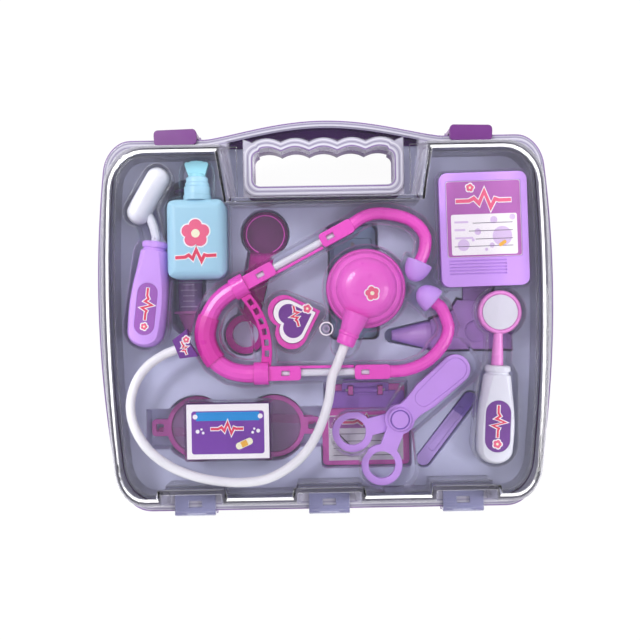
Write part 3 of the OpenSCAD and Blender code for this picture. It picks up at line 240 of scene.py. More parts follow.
finishes = {
    "case_purple": plastic("casePurple", tone(100, 52, 132), 0.2, 1.0, coat=0.3, alpha=0.93),
    "lid_clear": clearPlastic("lidClear", tone(176, 172, 190), tone(214, 211, 234), 0.01, 0.85, power=2.2,
                              frost=0.7, where=rimZone),
    "clip_grey": clearPlastic("clipGrey", tone(140, 140, 180), tone(96, 98, 140), 0.5, 0.5, 0.5),
    "latch_purple": plastic("latchPurple", tone(92, 34, 106), 0.36, 0.8, mottle=0.04),
    "tray_lavender": plastic("trayLavender", tone(210, 212, 244), 0.42, 1.6, mottle=0.05),
    "tray_clear": clearPlastic("trayClear", tone(222, 223, 238), tone(166, 168, 204), 0.012, 0.42, 1.6, 0.8,
                               power=2.8, wave=0.12),
    "pink": plastic("stethoscopePink", tone(240, 78, 202), 0.3, 0.8, coat=0.2, mottle=0.05),
    "magenta": plastic("deepPink", tone(222, 44, 172), 0.3, 0.5, mottle=0.05),
    "white": plastic("whitePlastic", tone(222, 222, 234), 0.3, 0.6, mottle=0.03),
    "hose_white": plastic("hoseWhite", tone(238, 237, 243), 0.42, 0.4, mottle=0.03),
    "lilac": plastic("lilacPlastic", tone(204, 154, 242), 0.36, 0.8, mottle=0.04),
    "lilac_tip": plastic("softTip", tone(206, 158, 246), 0.48, 0.6, mottle=0.03),
    "purple": plastic("deepPurple", tone(112, 50, 146), 0.3, 0.5),
    "bottle_blue": plastic("bottleBlue", tone(162, 208, 230), 0.34, 1.2, mottle=0.03),
    "bottle_cap": plastic("stopperBlue", tone(138, 198, 214), 0.3, 0.8, mottle=0.03),
    "paper": plastic("printPaper", tone(238, 234, 240), 0.5, 0.1, mottle=0.02),
    "mirror_pink": plastic("mirrorPink", tone(232, 140, 216), 0.28, 0.8, mottle=0.04),
    "disc_white": plastic("mirrorDisc", tone(214, 212, 224), 0.12, 0.2, mottle=0.03, coat=0.6),
    "glasses_pink": plastic("glassesPink", tone(222, 104, 196), 0.24, 0.6, coat=0.2, mottle=0.05, alpha=0.92),
    "lens_clear": clearPlastic("lensClear", tone(190, 136, 194), tone(150, 104, 164), 0.4, 0.4, 0.4),
    "board_pink": plastic("boardPink", tone(228, 100, 196), 0.32, 0.6, mottle=0.05),
    "thermo_purple": plastic("toolPurple", tone(196, 154, 232), 0.34, 0.8, mottle=0.04),
    "syringe_grey": plastic("syringeGrey", tone(172, 136, 200), 0.22, 0.5, alpha=0.8),
    "sound_blue": plastic("soundBlue", tone(156, 178, 212), 0.42, 0.8),
    "steel": plastic("brightSteel", tone(190, 190, 196), 0.25, 0.1, mottle=0.05),
}
for row in frame["record"]["subparts"]:
    mesh = nodes[row["node"]].data
    mesh.materials.clear()
    mesh.materials.append(finishes[row["material_slot"]])

# Pieces whose colour differs from the rest of their material; two of them change colour along their length
changeValues = {"loupe": (42, 47), "thermometer": (4.5, 6.0), "thermometerWay": (0.62, 0.785)}


def loupeUpper(x, y, z):
    return y.between(*changeValues["loupe"])


def thermometerEnd(x, y, z):
    # the distance along the slanting thermometer
    way = changeValues["thermometerWay"]
    return (x * way[0] + y * way[1]).between(*changeValues["thermometer"])


special = {
    "loupe_frame": plastic("loupeMagenta", tone(204, 24, 164), 0.26, 0.5, mottle=0.05,
                           second=tone(112, 14, 100), where=loupeUpper),
    "loupe_lens": plastic("loupeLens", tone(124, 62, 118), 0.2, 0.3, mottle=0.12),
    "thermometer": plastic("thermometerPurple", tone(196, 162, 236), 0.32, 0.8, mottle=0.04,
                           second=tone(124, 88, 190), where=thermometerEnd),
    "board_clip": plastic("boardClipPurple", tone(158, 104, 204), 0.3, 0.5, mottle=0.05),
    "chest_dome": plastic("chestPink", tone(238, 98, 210), 0.3, 0.8, coat=0.2, mottle=0.04),
    "chest_collar": plastic("collarPink", tone(244, 88, 210), 0.3, 0.5, mottle=0.04),
    "gauge_body": plastic("gaugeMagenta", tone(222, 72, 180), 0.28, 0.6, mottle=0.05),
    "otoscope_body": plastic("otoscopePurple", tone(208, 154, 240), 0.34, 0.8, mottle=0.04),
    "otoscope_speculum": plastic("speculumPurple", tone(210, 156, 240), 0.34, 0.5, mottle=0.04),
    "syringe_nozzle": plastic("nozzlePurple", tone(206, 116, 190), 0.3, 0.5, mottle=0.05),
}
for name, made in special.items():
    nodes[name].data.materials.clear()
    nodes[name].data.materials.append(made)
print("finishes on", len(nodes), "nodes")

# Inks for the prints and badges
inks = {
    "mauve": plastic("inkMauve", tone(158, 88, 184), 0.35, 0.1, mottle=0.05),
    "plum": plastic("inkPlum", tone(112, 52, 146), 0.35, 0.1, mottle=0.05),
    "rose": plastic("inkRose", tone(236, 96, 136), 0.35, 0.1, mottle=0.05),
    "red": plastic("inkRed", tone(228, 60, 96), 0.35, 0.1, mottle=0.05),
    "white": plastic("inkWhite", tone(246, 242, 246), 0.4, 0.1, mottle=0.02),
    "cream": plastic("inkCream", tone(244, 240, 208), 0.4, 0.1, mottle=0.02),
    "header": plastic("inkHeader", tone(178, 96, 178), 0.4, 0.1, mottle=0.06),
    "grey": plastic("inkGrey", tone(96, 84, 104), 0.5, 0.1, mottle=0.05),
    "pale": plastic("inkPale", tone(216, 192, 230), 0.45, 0.1, mottle=0.05),
    "blue": plastic("inkBlue", tone(12, 142, 216), 0.35, 0.1, mottle=0.05),
    "violet": plastic("inkViolet", tone(118, 58, 166), 0.35, 0.1, mottle=0.08),
    "amber": plastic("inkAmber", tone(240, 178, 60), 0.4, 0.1, mottle=0.05),
    "hotPink": plastic("inkHotPink", tone(246, 84, 214), 0.3, 0.1, mottle=0.03),
    "iris": plastic("inkIris", tone(126, 84, 190), 0.35, 0.1, mottle=0.03),
    # Painted light for the clear lid's rim: white for painted highlights, grey for painted shade lines,
    # purple for painted refraction of the purple base
    "rimHighlight": plastic("paintedRimHighlight", tone(232, 230, 240), 0.2, 0.1, mottle=0.02, alpha=0.5),
    "rimRefraction": plastic("paintedRimRefraction", tone(128, 96, 156), 0.25, 0.1, mottle=0.05, alpha=0.75),
    "rimShade": plastic("paintedRimShade", tone(150, 142, 172), 0.2, 0.1, mottle=0.02, alpha=0.6),
}


def meshPiece(name, points, faces, ink, body, smooth=False):
    # points in millimetres in the case's frame
    mesh = bpy.data.meshes.new(name)
    mesh.from_pydata([tuple(p) for p in np.asarray(points) * mm], [], [list(f) for f in faces])
    mesh.validate()
    mesh.update()
    if smooth:
        mesh.polygons.foreach_set("use_smooth", np.ones(len(mesh.polygons), bool))
    made = bpy.data.objects.new(name, mesh)
    bpy.context.scene.collection.objects.link(made)
    mesh.materials.append(ink if isinstance(ink, bpy.types.Material) else inks[ink])
    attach(made, body)
    return made


def turned(points, middle, turn):
    a = math.radians(turn)
    x, y = points[..., 0], points[..., 1]
    return np.stack([middle[0] + x * math.cos(a) - y * math.sin(a),
                     middle[1] + x * math.sin(a) + y * math.cos(a)], -1)


def ringAngles(count):
    # equal steps round a closed outline, each of which is a formula of this angle
    return np.linspace(0, 2 * np.pi, count, endpoint=False)


def roundedBox(width, height, radius, count=48):
    # a circle of the corner radius, pushed outwards to four corners
    a = ringAngles(count) + np.pi / count
    return np.stack([np.sign(np.cos(a)) * (width / 2 - radius) + radius * np.cos(a),
                     np.sign(np.sin(a)) * (height / 2 - radius) + radius * np.sin(a)], -1)


def petals(radius, number, depth, count=96):
    # radius swells and shrinks with the angle times the number of petals
    a = ringAngles(count)
    r = radius * (1 - depth + depth * np.abs(np.cos(number * a / 2)) ** 0.7)
    return np.stack([r * np.cos(a), r * np.sin(a)], -1)


def disc(radius, count=40):
    return petals(radius, 1, 0.0, count)


def heightOf(top):
    # a level, or a formula of x and y, as a formula
    return top if callable(top) else (lambda x, y: np.full(np.shape(x), float(top)))


def badge(name, outline, top, thick, ink, body, slot, middle=(0, 0), turn=0.0, rings=5, sink=0.25):
    # rings from the middle to the outline, laid on the height top(x, y), closed below
    steps = np.linspace(0, 1, rings + 1)[1:]
    flat = turned(outline[None] * steps[:, None, None], middle, turn)
    centre = np.array(middle, float)
    height = heightOf(top)
    n = len(outline)
    z = height(flat[..., 0], flat[..., 1])[..., None] + thick
    upper = np.concatenate([flat, z], -1).reshape(-1, 3)
    lower = upper - [0, 0, thick + sink]
    tip = np.array([[centre[0], centre[1], float(height(centre[0], centre[1])) + thick]])
    points = np.concatenate([upper, lower, tip, tip - [0, 0, thick + sink]])
    i = np.arange(n)
    k = (i + 1) % n
    under = rings * n
    faces = []
    for r in range(rings - 1):
        a, b = r * n, (r + 1) * n
        faces += np.stack([a + i, b + i, b + k, a + k], -1).tolist()
        faces += np.stack([under + a + k, under + b + k, under + b + i, under + a + i], -1).tolist()
    last = under - n
    faces += np.stack([last + i, under + last + i, under + last + k, last + k], -1).tolist()
    apex = 2 * under
    faces += np.stack([np.full(n, apex), i, k], -1).tolist()
    faces += np.stack([np.full(n, apex + 1), under + k, under + i], -1).tolist()
    return meshPiece(name, points, faces, ink, body)


def stripe(name, line, width, top, thick, ink, body, slot, middle=(0, 0), turn=0.0, sink=0.25):
    # a band of one width carried along a line, mitred at its corners, laid on the height top(x, y)
    p = np.asarray(line, float)
    along = np.diff(p, axis=0)
    along /= np.linalg.norm(along, axis=1)[:, None]
    before = np.vstack([along[:1], along])
    after = np.vstack([along, along[-1:]])
    bisect = before + after
    bisect /= np.linalg.norm(bisect, axis=1)[:, None]
    side = np.stack([-bisect[:, 1], bisect[:, 0]], -1)
    stretch = 1 / np.clip((bisect * after).sum(1), 0.45, 1)
    off = side * (stretch * width / 2)[:, None]
    flat = turned(np.stack([p + off, p - off], 1), middle, turn)
    height = heightOf(top)
    z = height(flat[..., 0], flat[..., 1])[..., None]
    upper = np.concatenate([flat, z + thick], -1)
    lower = np.concatenate([flat, z - sink], -1)[:, ::-1]
    points = np.concatenate([upper, lower], 1).reshape(-1, 3)
    m = len(p)
    j = np.arange(m - 1) * 4
    faces = []
    for c in range(4):
        d = (c + 1) % 4
        faces += np.stack([j + c, j + 4 + c, j + 4 + d, j + d], -1).tolist()
    faces += [[0, 1, 2, 3], [4 * m - 1, 4 * m - 2, 4 * m - 3, 4 * m - 4]]
    return meshPiece(name, points, faces, ink, body)


def pulseLine(length, height):
    # a heartbeat line: flat, a small dip, a tall spike, a deep dip, flat
    shape = np.array([[-0.5, 0], [-0.26, 0], [-0.17, 0.28], [-0.08, -0.3], [0.02, 1.0], [0.13, -0.75],
                      [0.21, 0.15], [0.28, 0], [0.5, 0]])
    return shape * [length, height / 1.75]


def pulse(name, length, height, width, top, body, slot, middle, turn, ink="red"):
    edge = pulseLine(length + 0.6, height)
    stripe(name + "Edge", edge, width + 1.1, top, 0.10, "white", body, slot, middle, turn)
    return stripe(name, pulseLine(length, height), width, top, 0.18, ink, body, slot, middle, turn)


def blossom(name, radius, top, body, slot, middle, turn=0.0, ink="rose"):
    # a plain five-petal flower with a white edge
    badge(name + "Edge", petals(radius + 0.8, 5, 0.22), top, 0.10, "white", body, slot, middle, turn)
    badge(name, petals(radius, 5, 0.26), top, 0.18, ink, body, slot, middle, turn)
    return badge(name + "Heart", disc(radius * 0.3), top, 0.26, "cream", body, slot, middle, turn, 2)


# Hammer and mirror labels
hammerValues = {"foot": (-113, -13.3), "tilt": -7, "labelAt": 24, "label": (12.2, 31.8), "top": 44.5}
mirrorValues = {"foot": (102.5, -89), "tilt": -3.2, "labelAt": 24, "label": (15.3, 31.8), "top": 44.5}


def onHandle(values, distance):
    a = math.radians(values["tilt"])
    return (values["foot"][0] - distance * math.sin(a), values["foot"][1] + distance * math.cos(a))


def handleLabel(name, values, body, slot, ink):
    w, h = values["label"]
    thick = 0.42
    face = values["top"] + thick
    spot = onHandle(values, values["labelAt"])
    badge(name, roundedBox(w, h, w / 2 - 0.05), values["top"], thick, ink, body, slot, spot, values["tilt"])
    pulse(name + "Pulse", h * 0.62, w * 0.5, 1.3, face, body, slot, onHandle(values, values["labelAt"] + 3),
          values["tilt"] - 90)
    blossom(name + "Flower", w * 0.17, face, body, slot, onHandle(values, values["labelAt"] - h * 0.34),
            values["tilt"])


handleLabel("hammerLabel", hammerValues, "hammer", "purple", "mauve")
handleLabel("mirrorLabel", mirrorValues, "dental_mirror", "purple", "plum")

# Bottle badge
bottleValues = {"flower": (-78.3, 55.7), "pulse": (-78.3, 41.7), "top": 49.0}
blossom("bottleFlower", 8.6, bottleValues["top"], "bottle", "bottle_blue", bottleValues["flower"], 18)
pulse("bottlePulse", 25, 7, 2.0, bottleValues["top"], "bottle", "bottle_blue", bottleValues["pulse"], 3)

# Chest piece badge, laid on the dome
chestValues = {"middle": (25, 21), "radius": 18.4, "low": 44.1, "rise": 7.1, "flower": (28.0, 17.5)}


def domeTop(x, y):
    d = np.hypot(x - chestValues["middle"][0], y - chestValues["middle"][1]) / chestValues["radius"]
    return chestValues["low"] + chestValues["rise"] * np.sqrt(np.clip(1 - d * d, 0, 1))


blossom("chestFlower", 4.2, domeTop, "stethoscope", "pink", chestValues["flower"], 30)

# A small flower and pulse on the tag of the hose
tagValues = {"flower": (-85.2, -8.6), "pulse": (-86.6, -13.6), "turn": -68, "top": 48.15}
blossom("tagFlower", 2.0, tagValues["top"], "stethoscope", "purple", tagValues["flower"], 20)
pulse("tagPulse", 8.5, 3.6, 0.8, tagValues["top"], "stethoscope", "purple", tagValues["pulse"],
      tagValues["turn"])
print("badges done")

# Record card: coloured sheet, white panel, writing lines and pale spots
cardValues = {"middle": (98, 56), "turn": 1, "top": 42.9,
              "spots": [(6, 5.5, 2.2), (-4, -1.5, 2.0), (-13, -9.5, 3.6), (11, -4.5, 6.0), (4.5, -10, 1.6),
                        (-7, -6.5, 0.9), (17.5, 7, 1.8), (1, -12.5, 1.0)],
              "lines": [(-7, 3.8), (-9.5, -1.0), (-5.5, -6.0), (-18.5, -10.4)], "lineEnd": 17.5,
              "entries": [(-14, 4.6, 8.5), (-15, -0.2, 6.5), (-12.5, -5.2, 11)]}
onPaper = ("record_card", "paper")


def onCard(x, y):
    a = math.radians(cardValues["turn"])
    return (cardValues["middle"][0] + x * math.cos(a) - y * math.sin(a),
            cardValues["middle"][1] + x * math.sin(a) + y * math.cos(a))


def cardPatch(name, width, height, radius, x, y, thick, ink):
    badge(name, roundedBox(width, height, radius), cardValues["top"], thick, ink, *onPaper, onCard(x, y),
          cardValues["turn"])


def cardStroke(name, start, stop, y, width, thick, ink):
    stripe(name, [(start, 0), (stop, 0)], width, cardValues["top"], thick, ink, *onPaper, onCard(0, y),
           cardValues["turn"])


cardPatch("cardPrint", 45.2, 46.2, 1.5, 0, 6.4, 0.05, "header")
cardPatch("cardPanel", 40.5, 25, 1.2, 0, -3.2, 0.10, "white")
for count, (x, y, r) in enumerate(cardValues["spots"]):
    badge(f"cardSpot{count}", disc(r, 32), cardValues["top"], 0.13, "pale", *onPaper, onCard(x, y), 0, 2)
for count, (start, y) in enumerate(cardValues["lines"]):
    cardStroke(f"cardLine{count}", start, cardValues["lineEnd"], y, 0.42, 0.16, "grey")
for count, (x, y, w) in enumerate(cardValues["entries"]):
    cardStroke(f"cardEntry{count}", x - w / 2, x + w / 2, y, 1.2, 0.15, "pale")
pulse("cardPulse", 34, 10, 2.2, cardValues["top"] + 0.05, *onPaper, onCard(0, 17.5), 1, "rose")
blossom("cardFlower", 2.4, cardValues["top"] + 0.05, *onPaper, onCard(-8, 25.6), 10)
badge("cardCross", roundedBox(5, 2.2, 0.8), cardValues["top"], 0.17, "amber", *onPaper, onCard(11, -9), 35, 2)

# Bandage box print
boxValues = {"middle": (-61.5, -65.5), "top": 43.0, "stud": (20, 9.2, 1.5),
             "dots": [(18.6, 0.2, 1.2), (16.2, 1.5, 0.7), (15.2, -0.7, 0.85)]}
onBandages = ("bandages", "purple")


def onBox(x, y):
    return (boxValues["middle"][0] + x, boxValues["middle"][1] + y)


def boxPatch(name, width, height, radius, x, y, thick, ink, turn=0.0):
    shape = roundedBox(width, height, radius)
    badge(name, shape, boxValues["top"], thick, ink, *onBandages, onBox(x, y), turn)


def boxDot(name, x, y, radius, thick, count):
    badge(name, disc(radius, count), boxValues["top"], thick, "white", *onBandages, onBox(x, y), 0, 2)


boxPatch("boxFace", 50.6, 33.6, 0.4, 0, 0, 0.06, "white")
boxPatch("boxPanel", 44.6, 26.4, 1.8, 0, -0.6, 0.12, "violet")
boxPatch("boxBand", 39, 5.4, 0.5, 0, 9.3, 0.18, "blue")
for side in (-1, 1):
    x, y, r = boxValues["stud"]
    boxDot(f"boxStud{side + 1}", side * x, y, r, 0.22, 28)
    for count, (x, y, r) in enumerate(boxValues["dots"]):
        boxDot(f"boxDot{side + 1}{count}", side * x, y, r, 0.2, 24)
pulse("boxPulse", 20, 6.5, 1.5, boxValues["top"] + 0.12, *onBandages, onBox(-0.5, 1.6), 0)
boxPatch("boxPlaster", 11, 4.2, 2.0, 10, -7.6, 0.2, "cream", 24)
boxPatch("boxPad", 4, 3.6, 0.4, 10, -7.6, 0.26, "amber", 24)

# Heart gauge: white edge, plum face, a flower and a pulse line
gaugeValues = {"point": (-3.5, 7.5), "turn": 108, "top": 41.9, "side": 16.2, "centre": 0.78, "foot": 2.9,
               "flower": (-11.5, 9.0), "pulse": (-18.5, 4.6)}
onGauge = ("heart_gauge", "purple")


def heartOutline(side, count=120):
    # a square stood on its corner with a half circle on each upper side
    quarter = np.linspace(0, np.pi, count // 2)
    half = side / 2
    later = quarter - np.pi / 2
    first = np.stack([half + half * np.cos(quarter), side + half * np.sin(quarter)], -1)
    second = np.stack([side + half * np.cos(later), half + half * np.sin(later)], -1)
    raw = np.concatenate([np.array([[0.0, 0.0]]), second, first])
    return turned(raw, (0, 0), 45)


def heartBadge(name, side, thick, ink):
    v = gaugeValues
    a = math.radians(v["turn"])
    away = v["foot"] + v["side"] * v["centre"]
    spot = (v["point"][0] - away * math.sin(a), v["point"][1] + away * math.cos(a))
    shape = heartOutline(side) - np.array([0, side * v["centre"]])
    badge(name, shape, v["top"], thick, ink, *onGauge, spot, v["turn"])


heartBadge("gaugeEdge", 16.0, 0.06, "white")
heartBadge("gaugePlum", 12.6, 0.14, "plum")
blossom("gaugeFlower", 2.6, gaugeValues["top"] + 0.14, *onGauge, gaugeValues["flower"], 0)
pulse("gaugePulse", 13, 5.0, 1.2, gaugeValues["top"] + 0.14, *onGauge, gaugeValues["pulse"], 104)
print("prints done")

# Chart on the board: header, lines and a pointer
chartValues = {"middle": (24.5, -74.5), "top": 19.2, "lines": 4, "first": 2.5, "step": 4.6, "half": 21}
onSheet = ("case_base", "paper")


def onChart(x, y):
    return (chartValues["middle"][0] + x, chartValues["middle"][1] + y)


badge("chartHeader", roundedBox(47, 7.5, 1), chartValues["top"], 0.06, "header", *onSheet, onChart(0, 10), 0)
pulse("chartPulse", 30, 6.5, 1.6, chartValues["top"] + 0.06, *onSheet, onChart(0, 10), 0, "rose")
chartLine = [(-chartValues["half"], 0), (chartValues["half"], 0)]
for count in range(chartValues["lines"]):
    y = chartValues["first"] - chartValues["step"] * count
    stripe(f"chartLine{count}", chartLine, 0.4, chartValues["top"], 0.1, "grey", *onSheet, onChart(0, y))
stripe("chartPointer", [(-18, 3), (-7, -8)], 0.7, chartValues["top"], 0.16, "grey", *onSheet, onChart(0, 0))

# Syringe graduations: short arcs on the barrel
syringeValues = {"axis": (-88, 13.5), "radius": 8.0, "from": 12, "to": 54, "step": 3.5}


def barrelTop(x, y):
    d = np.clip(np.abs(x - syringeValues["axis"][0]) / syringeValues["radius"], 0, 0.98)
    return syringeValues["axis"][1] + syringeValues["radius"] * np.sqrt(1 - d * d)


for count, y in enumerate(np.arange(syringeValues["from"], syringeValues["to"], syringeValues["step"])):
    reach = 3.6 if count % 3 else 5.2
    line = np.stack([np.linspace(-reach, reach, 9), np.zeros(9)], -1)
    stripe(f"syringeMark{count}", line, 0.7, barrelTop, 0.12, "pale", "case_base", "syringe_grey",
           (syringeValues["axis"][0], float(y)), 0)
print("lower prints done")

# Fine rings: the loupe's bright edge, the scissors' pivot groove and the snap button's two rings
ringValues = {"loupe": {"middle": (-38, 57.5), "radius": 12.2, "top": 20.8, "gap": (-68, 248)},
              "pivot": {"middle": (45, -61), "radius": 5.7, "top": 36.3},
              "snap": {"middle": (0, -3.5), "radius": 3.9, "inner": 1.9, "top": 43.8}}


def arcLine(middle, radius, start=0, stop=360, count=72):
    a = np.radians(np.linspace(start, stop, count))
    return np.stack([middle[0] + radius * np.cos(a), middle[1] + radius * np.sin(a)], -1)


loupe, pivot, snap = ringValues["loupe"], ringValues["pivot"], ringValues["snap"]
stripe("loupeEdge", arcLine(loupe["middle"], loupe["radius"], *loupe["gap"]), 0.75, loupe["top"], 0.12,
       "hotPink", "case_base", "magenta")
stripe("pivotGroove", arcLine(pivot["middle"], pivot["radius"]), 0.7, pivot["top"], 0.25, "iris", "case_base",
       "lilac", sink=0.05)
stripe("snapRing", arcLine(snap["middle"], snap["radius"]), 0.8, snap["top"], 0.12, "white", "case_base",
       "tray_clear")
stripe("snapInner", arcLine(snap["middle"], snap["inner"], count=40), 0.5, snap["top"], 0.1, "pale",
       "case_base", "tray_clear")


# Lid rim: lines painted on the lid that follow the case's outline and the hand opening, standing in for
# light: white painted highlights, grey painted shade lines and purple painted refraction of the purple base;
# each with how far in or out it runs, its width and its ink
rimLightLines = [(0.8, 0.6, "rimRefraction"), (2.2, 0.4, "rimShade"), (3.3, 0.5, "rimHighlight"), (4.7, 0.5, "rimShade")]
handLightLines = [(0.7, 0.5, "rimRefraction"), (1.8, 0.9, "rimHighlight"), (3.2, 0.4, "rimShade"), (4.6, 0.8, "rimHighlight")]


def evenLoop(points, count):
    # the closed line again, with points at equal steps along it
    p = np.vstack([points, points[:1]])
    way = np.concatenate([[0], np.cumsum(np.linalg.norm(np.diff(p, axis=0), axis=1))])
    t = np.linspace(0, way[-1], count + 1)
    return np.stack([np.interp(t, way, p[:, 0]), np.interp(t, way, p[:, 1])], -1)


def corner(x, y, radius, start, count=12):
    a = np.radians(np.linspace(start, start + 90, count))
    return np.stack([x + radius * np.cos(a), y + radius * np.sin(a)], -1)


def boxLine(w, h, top, low, count):
    # a rounded box with one radius for the upper corners and one for the lower
    corners = [corner(w - top, h - top, top, 0), corner(top - w, h - top, top, 90),
               corner(low - w, low - h, low, 180), corner(w - low, low - h, low, 270)]
    return evenLoop(np.vstack(corners), count)


def rimLine(inset):
    # a rounded box whose sides bow with the square of the height and whose top rises as a power of a cosine
    r = rimValues
    w, h, top, low = (r[name] - inset for name in ("halfWide", "halfHigh", "topRadius", "lowRadius"))
    p = boxLine(w, h, top, low, 420)
    x, y = p[:, 0], p[:, 1]
    bow = r["bow"] * ((y - r["widest"]) / 100) ** 2 * (np.abs(x) / r["halfWide"]) ** 6
    rise = np.cos(np.clip(np.abs(x) / r["archHalf"], 0, 1) * np.pi / 2) ** r["archPower"]
    return np.stack([x - np.sign(x) * bow, y + r["archRise"] * rise * np.clip((y - 40) / 40, 0, 1)], -1)


def handLine(grow):
    # a rounded box whose upper side lifts by the size of a cosine, one hump for each finger
    r = rimValues
    w, h, a = r["handWide"] / 2 + grow, r["handHigh"] / 2 + grow, 4.5 + 0.6 * grow
    p = boxLine(w, h, a, a, 260)
    x, y = p[:, 0], p[:, 1] + r["handY"]
    upper = (y > r["handY"] + h - 0.6) * (np.abs(x) < w - a + 0.5)
    lift = r["wave"] * np.abs(np.cos(x * np.pi / r["pitch"])) * upper
    return np.stack([x, y + lift], -1)


onLid = ("lid", "lid_clear")
# These lines are painted light on the clear lid: painted highlights, painted shade lines and painted
# refraction of the purple base
for count, (inset, width, ink) in enumerate(rimLightLines):
    stripe(f"rimLine{count}", rimLine(inset), width, rimValues["rimTop"], 0.06, ink, *onLid, sink=0.02)
for count, (grow, width, ink) in enumerate(handLightLines):
    stripe(f"handLine{count}", handLine(grow), width, rimValues["lipTop"], 0.06, ink, *onLid, sink=0.02)

# The hook of each latch, over the rim
hookValues = {"size": (26.2, 9.6, 2.6), "low": 40.45, "thick": 1.7, "at": (91, 115.7), "turn": 1.5}
for side, body in ((-1, "left_latch"), (1, "right_latch")):
    badge(f"latchTop{side + 1}", roundedBox(*hookValues["size"]), hookValues["low"], hookValues["thick"],
          finishes["latch_purple"], body, "latch_purple", (side * hookValues["at"][0], hookValues["at"][1]),
          -side * hookValues["turn"], sink=0.0)
print("rings and rim lines done")

# The hose: one smooth line through given points, with a round section carried along it
hoseValues = {"height": 45.15, "radius": 2.85, "steps": 6, "sides": 20, "tagFoot": (-81.6, -10.6),
              "tagEnd": (-91.5, -14.5), "chestTurn": -112, "chestReach": 37.3}
tagFoot, tagEnd = np.array(hoseValues["tagFoot"]), np.array(hoseValues["tagEnd"])
tagWay = (tagEnd - tagFoot) / np.linalg.norm(tagEnd - tagFoot)
chestWay = turned(np.array([1.0, 0.0]), (0, 0), hoseValues["chestTurn"])
chestExit = np.array(chestValues["middle"]) + hoseValues["chestReach"] * chestWay
hosePoints = np.array([
    tagEnd, tagEnd + 4 * tagWay, tagEnd + 8 * tagWay, (-108, -23), (-115, -31), (-119, -40), (-120.5, -50),
    (-118.5, -61), (-112, -73), (-102, -82.6), (-89, -89.8), (-73, -94.5), (-55, -96.5), (-37, -94.3),
    (-20, -84.7), (-8, -70), (0, -50), chestExit + 22 * chestWay, chestExit + 14 * chestWay,
    chestExit + 7 * chestWay, chestExit])


def smoothLine(points, steps):
    # Catmull-Rom: each stretch is a cubic through its ends, leaning on their neighbours
    padded = np.vstack([points[:1], points, points[-1:]])
    t = (np.arange(steps) / steps)[:, None]
    parts = []
    for p0, p1, p2, p3 in zip(padded[:-3], padded[1:-2], padded[2:-1], padded[3:]):
        parts.append(0.5 * (2 * p1 + (p2 - p0) * t + (2 * p0 - 5 * p1 + 4 * p2 - p3) * t ** 2
                            + (3 * p1 - p0 - 3 * p2 + p3) * t ** 3))
    return np.vstack(parts + [points[-1:]])


def tube(name, path, radius, sides, ink, body):
    # a circle carried along the path, square to it, closed at both ends
    way = np.gradient(path, axis=0)
    way /= np.linalg.norm(way, axis=1)[:, None]
    side = np.cross(np.array([0, 0, 1.0]), way)
    side /= np.linalg.norm(side, axis=1)[:, None]
    up = np.cross(way, side)
    a = ringAngles(sides)
    across, over = np.cos(a)[None, :, None], np.sin(a)[None, :, None]
    ring = path[:, None] + radius * (across * side[:, None] + over * up[:, None])
    n, m = sides, len(path)
    i = np.arange(n)
    k = (i + 1) % n
    faces = []
    for j in range(m - 1):
        faces += np.stack([j * n + i, j * n + k, (j + 1) * n + k, (j + 1) * n + i], -1).tolist()
    points = np.concatenate([ring.reshape(-1, 3), path[:1], path[-1:]])
    faces += np.stack([np.full(n, m * n), k, i], -1).tolist()
    faces += np.stack([np.full(n, m * n + 1), (m - 1) * n + i, (m - 1) * n + k], -1).tolist()
    return meshPiece(name, points, faces, ink, body, True)


hoseHeights = np.full((len(hosePoints), 1), hoseValues["height"])
hoseLine = smoothLine(np.hstack([hosePoints, hoseHeights]), hoseValues["steps"])
hoseTube = tube("hoseTube", hoseLine, hoseValues["radius"], hoseValues["sides"], finishes["hose_white"],
                "stethoscope")
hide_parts("hose")
hoseLength = float(np.linalg.norm(np.diff(hoseLine, axis=0), axis=1).sum()) * mm
print("hose done, length", round(hoseLength, 4))

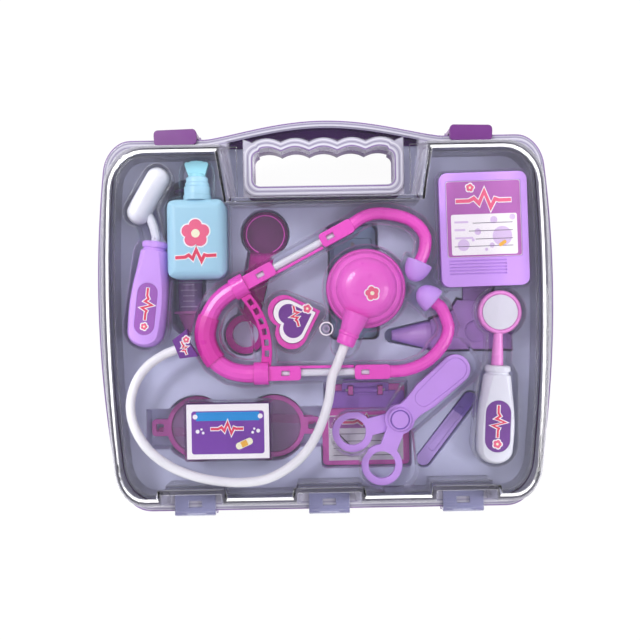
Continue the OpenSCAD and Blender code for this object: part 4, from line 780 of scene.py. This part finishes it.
# Stage: pale floor, soft lamps, bright surroundings
stageValues = {"floorGlow": 0.95, "ambient": 1.04, "key": 26.0, "fill": 13.0, "floorHalf": 3,
               "floorLow": 0.0006, "darkAbove": (0.90, 0.975), "darkShare": 0.9}
floorShop = Shop(bpy.data.materials.new("paleFloor"))
seen = floorShop.node("ShaderNodeLightPath", output="Is Camera Ray")
glow = floorShop.node("ShaderNodeEmission", {}, [(1, 1, 1, 1), 1.0])
matt = floorShop.node("ShaderNodeBsdfDiffuse", {}, [(0.93, 0.93, 0.94, 1)])
pale = floorShop.node("ShaderNodeMixShader", {}, [seen * stageValues["floorGlow"], matt, glow])
wide, low = stageValues["floorHalf"], -stageValues["floorLow"]
floorMesh = bpy.data.meshes.new("floor")
floorMesh.from_pydata([(-wide, -wide, low), (wide, -wide, low), (wide, wide, low), (-wide, wide, low)], [],
                      [(0, 1, 2, 3)])
floorMesh.materials.append(floorShop.finish(pale))
floor = bpy.data.objects.new("floor", floorMesh)
bpy.context.scene.collection.objects.link(floor)

# Surroundings: white to the camera, an even light, and in mirror rays bright at the sides and dark overhead
world = bpy.data.worlds.new("studio")
bpy.context.scene.world = world
sky = Shop(world)
seenSky = sky.node("ShaderNodeLightPath", output="Is Camera Ray")
glossy = sky.node("ShaderNodeLightPath", output="Is Glossy Ray")
mirrored = glossy.most(sky.node("ShaderNodeLightPath", output="Is Transmission Ray"))
upness = sky.node("ShaderNodeSeparateXYZ", {}, [sky.node("ShaderNodeTexCoord", output="Generated")], "Z")
overhead = upness.between(*stageValues["darkAbove"])
sides = upness.between(-0.1, 0.6, 0.30, 1.1) * (1 - overhead * stageValues["darkShare"])
level = sides * mirrored + (1 - mirrored) * stageValues["ambient"]
back = sky.node("ShaderNodeBackground", {}, [(1, 1, 1, 1), seenSky + (1 - seenSky) * level])
sky.node("ShaderNodeOutputWorld", {}, {"Surface": back})


def lamp(name, place, size, power):
    # a flat lamp turned to the middle of the case
    data = bpy.data.lights.new(name, "AREA")
    data.shape, data.size, data.size_y, data.energy = "RECTANGLE", size[0], size[1], power
    made = bpy.data.objects.new(name, data)
    made.location = place
    made.rotation_euler = (-Vector(place)).to_track_quat("-Z", "Y").to_euler()
    bpy.context.scene.collection.objects.link(made)


lamp("keyLamp", (-0.9, 0.7, 1.3), (0.7, 0.5), stageValues["key"])
lamp("fillLamp", (1.1, -0.2, 1.0), (0.6, 0.9), stageValues["fill"])
bpy.context.scene.view_settings.view_transform = "Standard"
bpy.context.scene.cycles.transparent_max_bounces = 32
print("stage done")
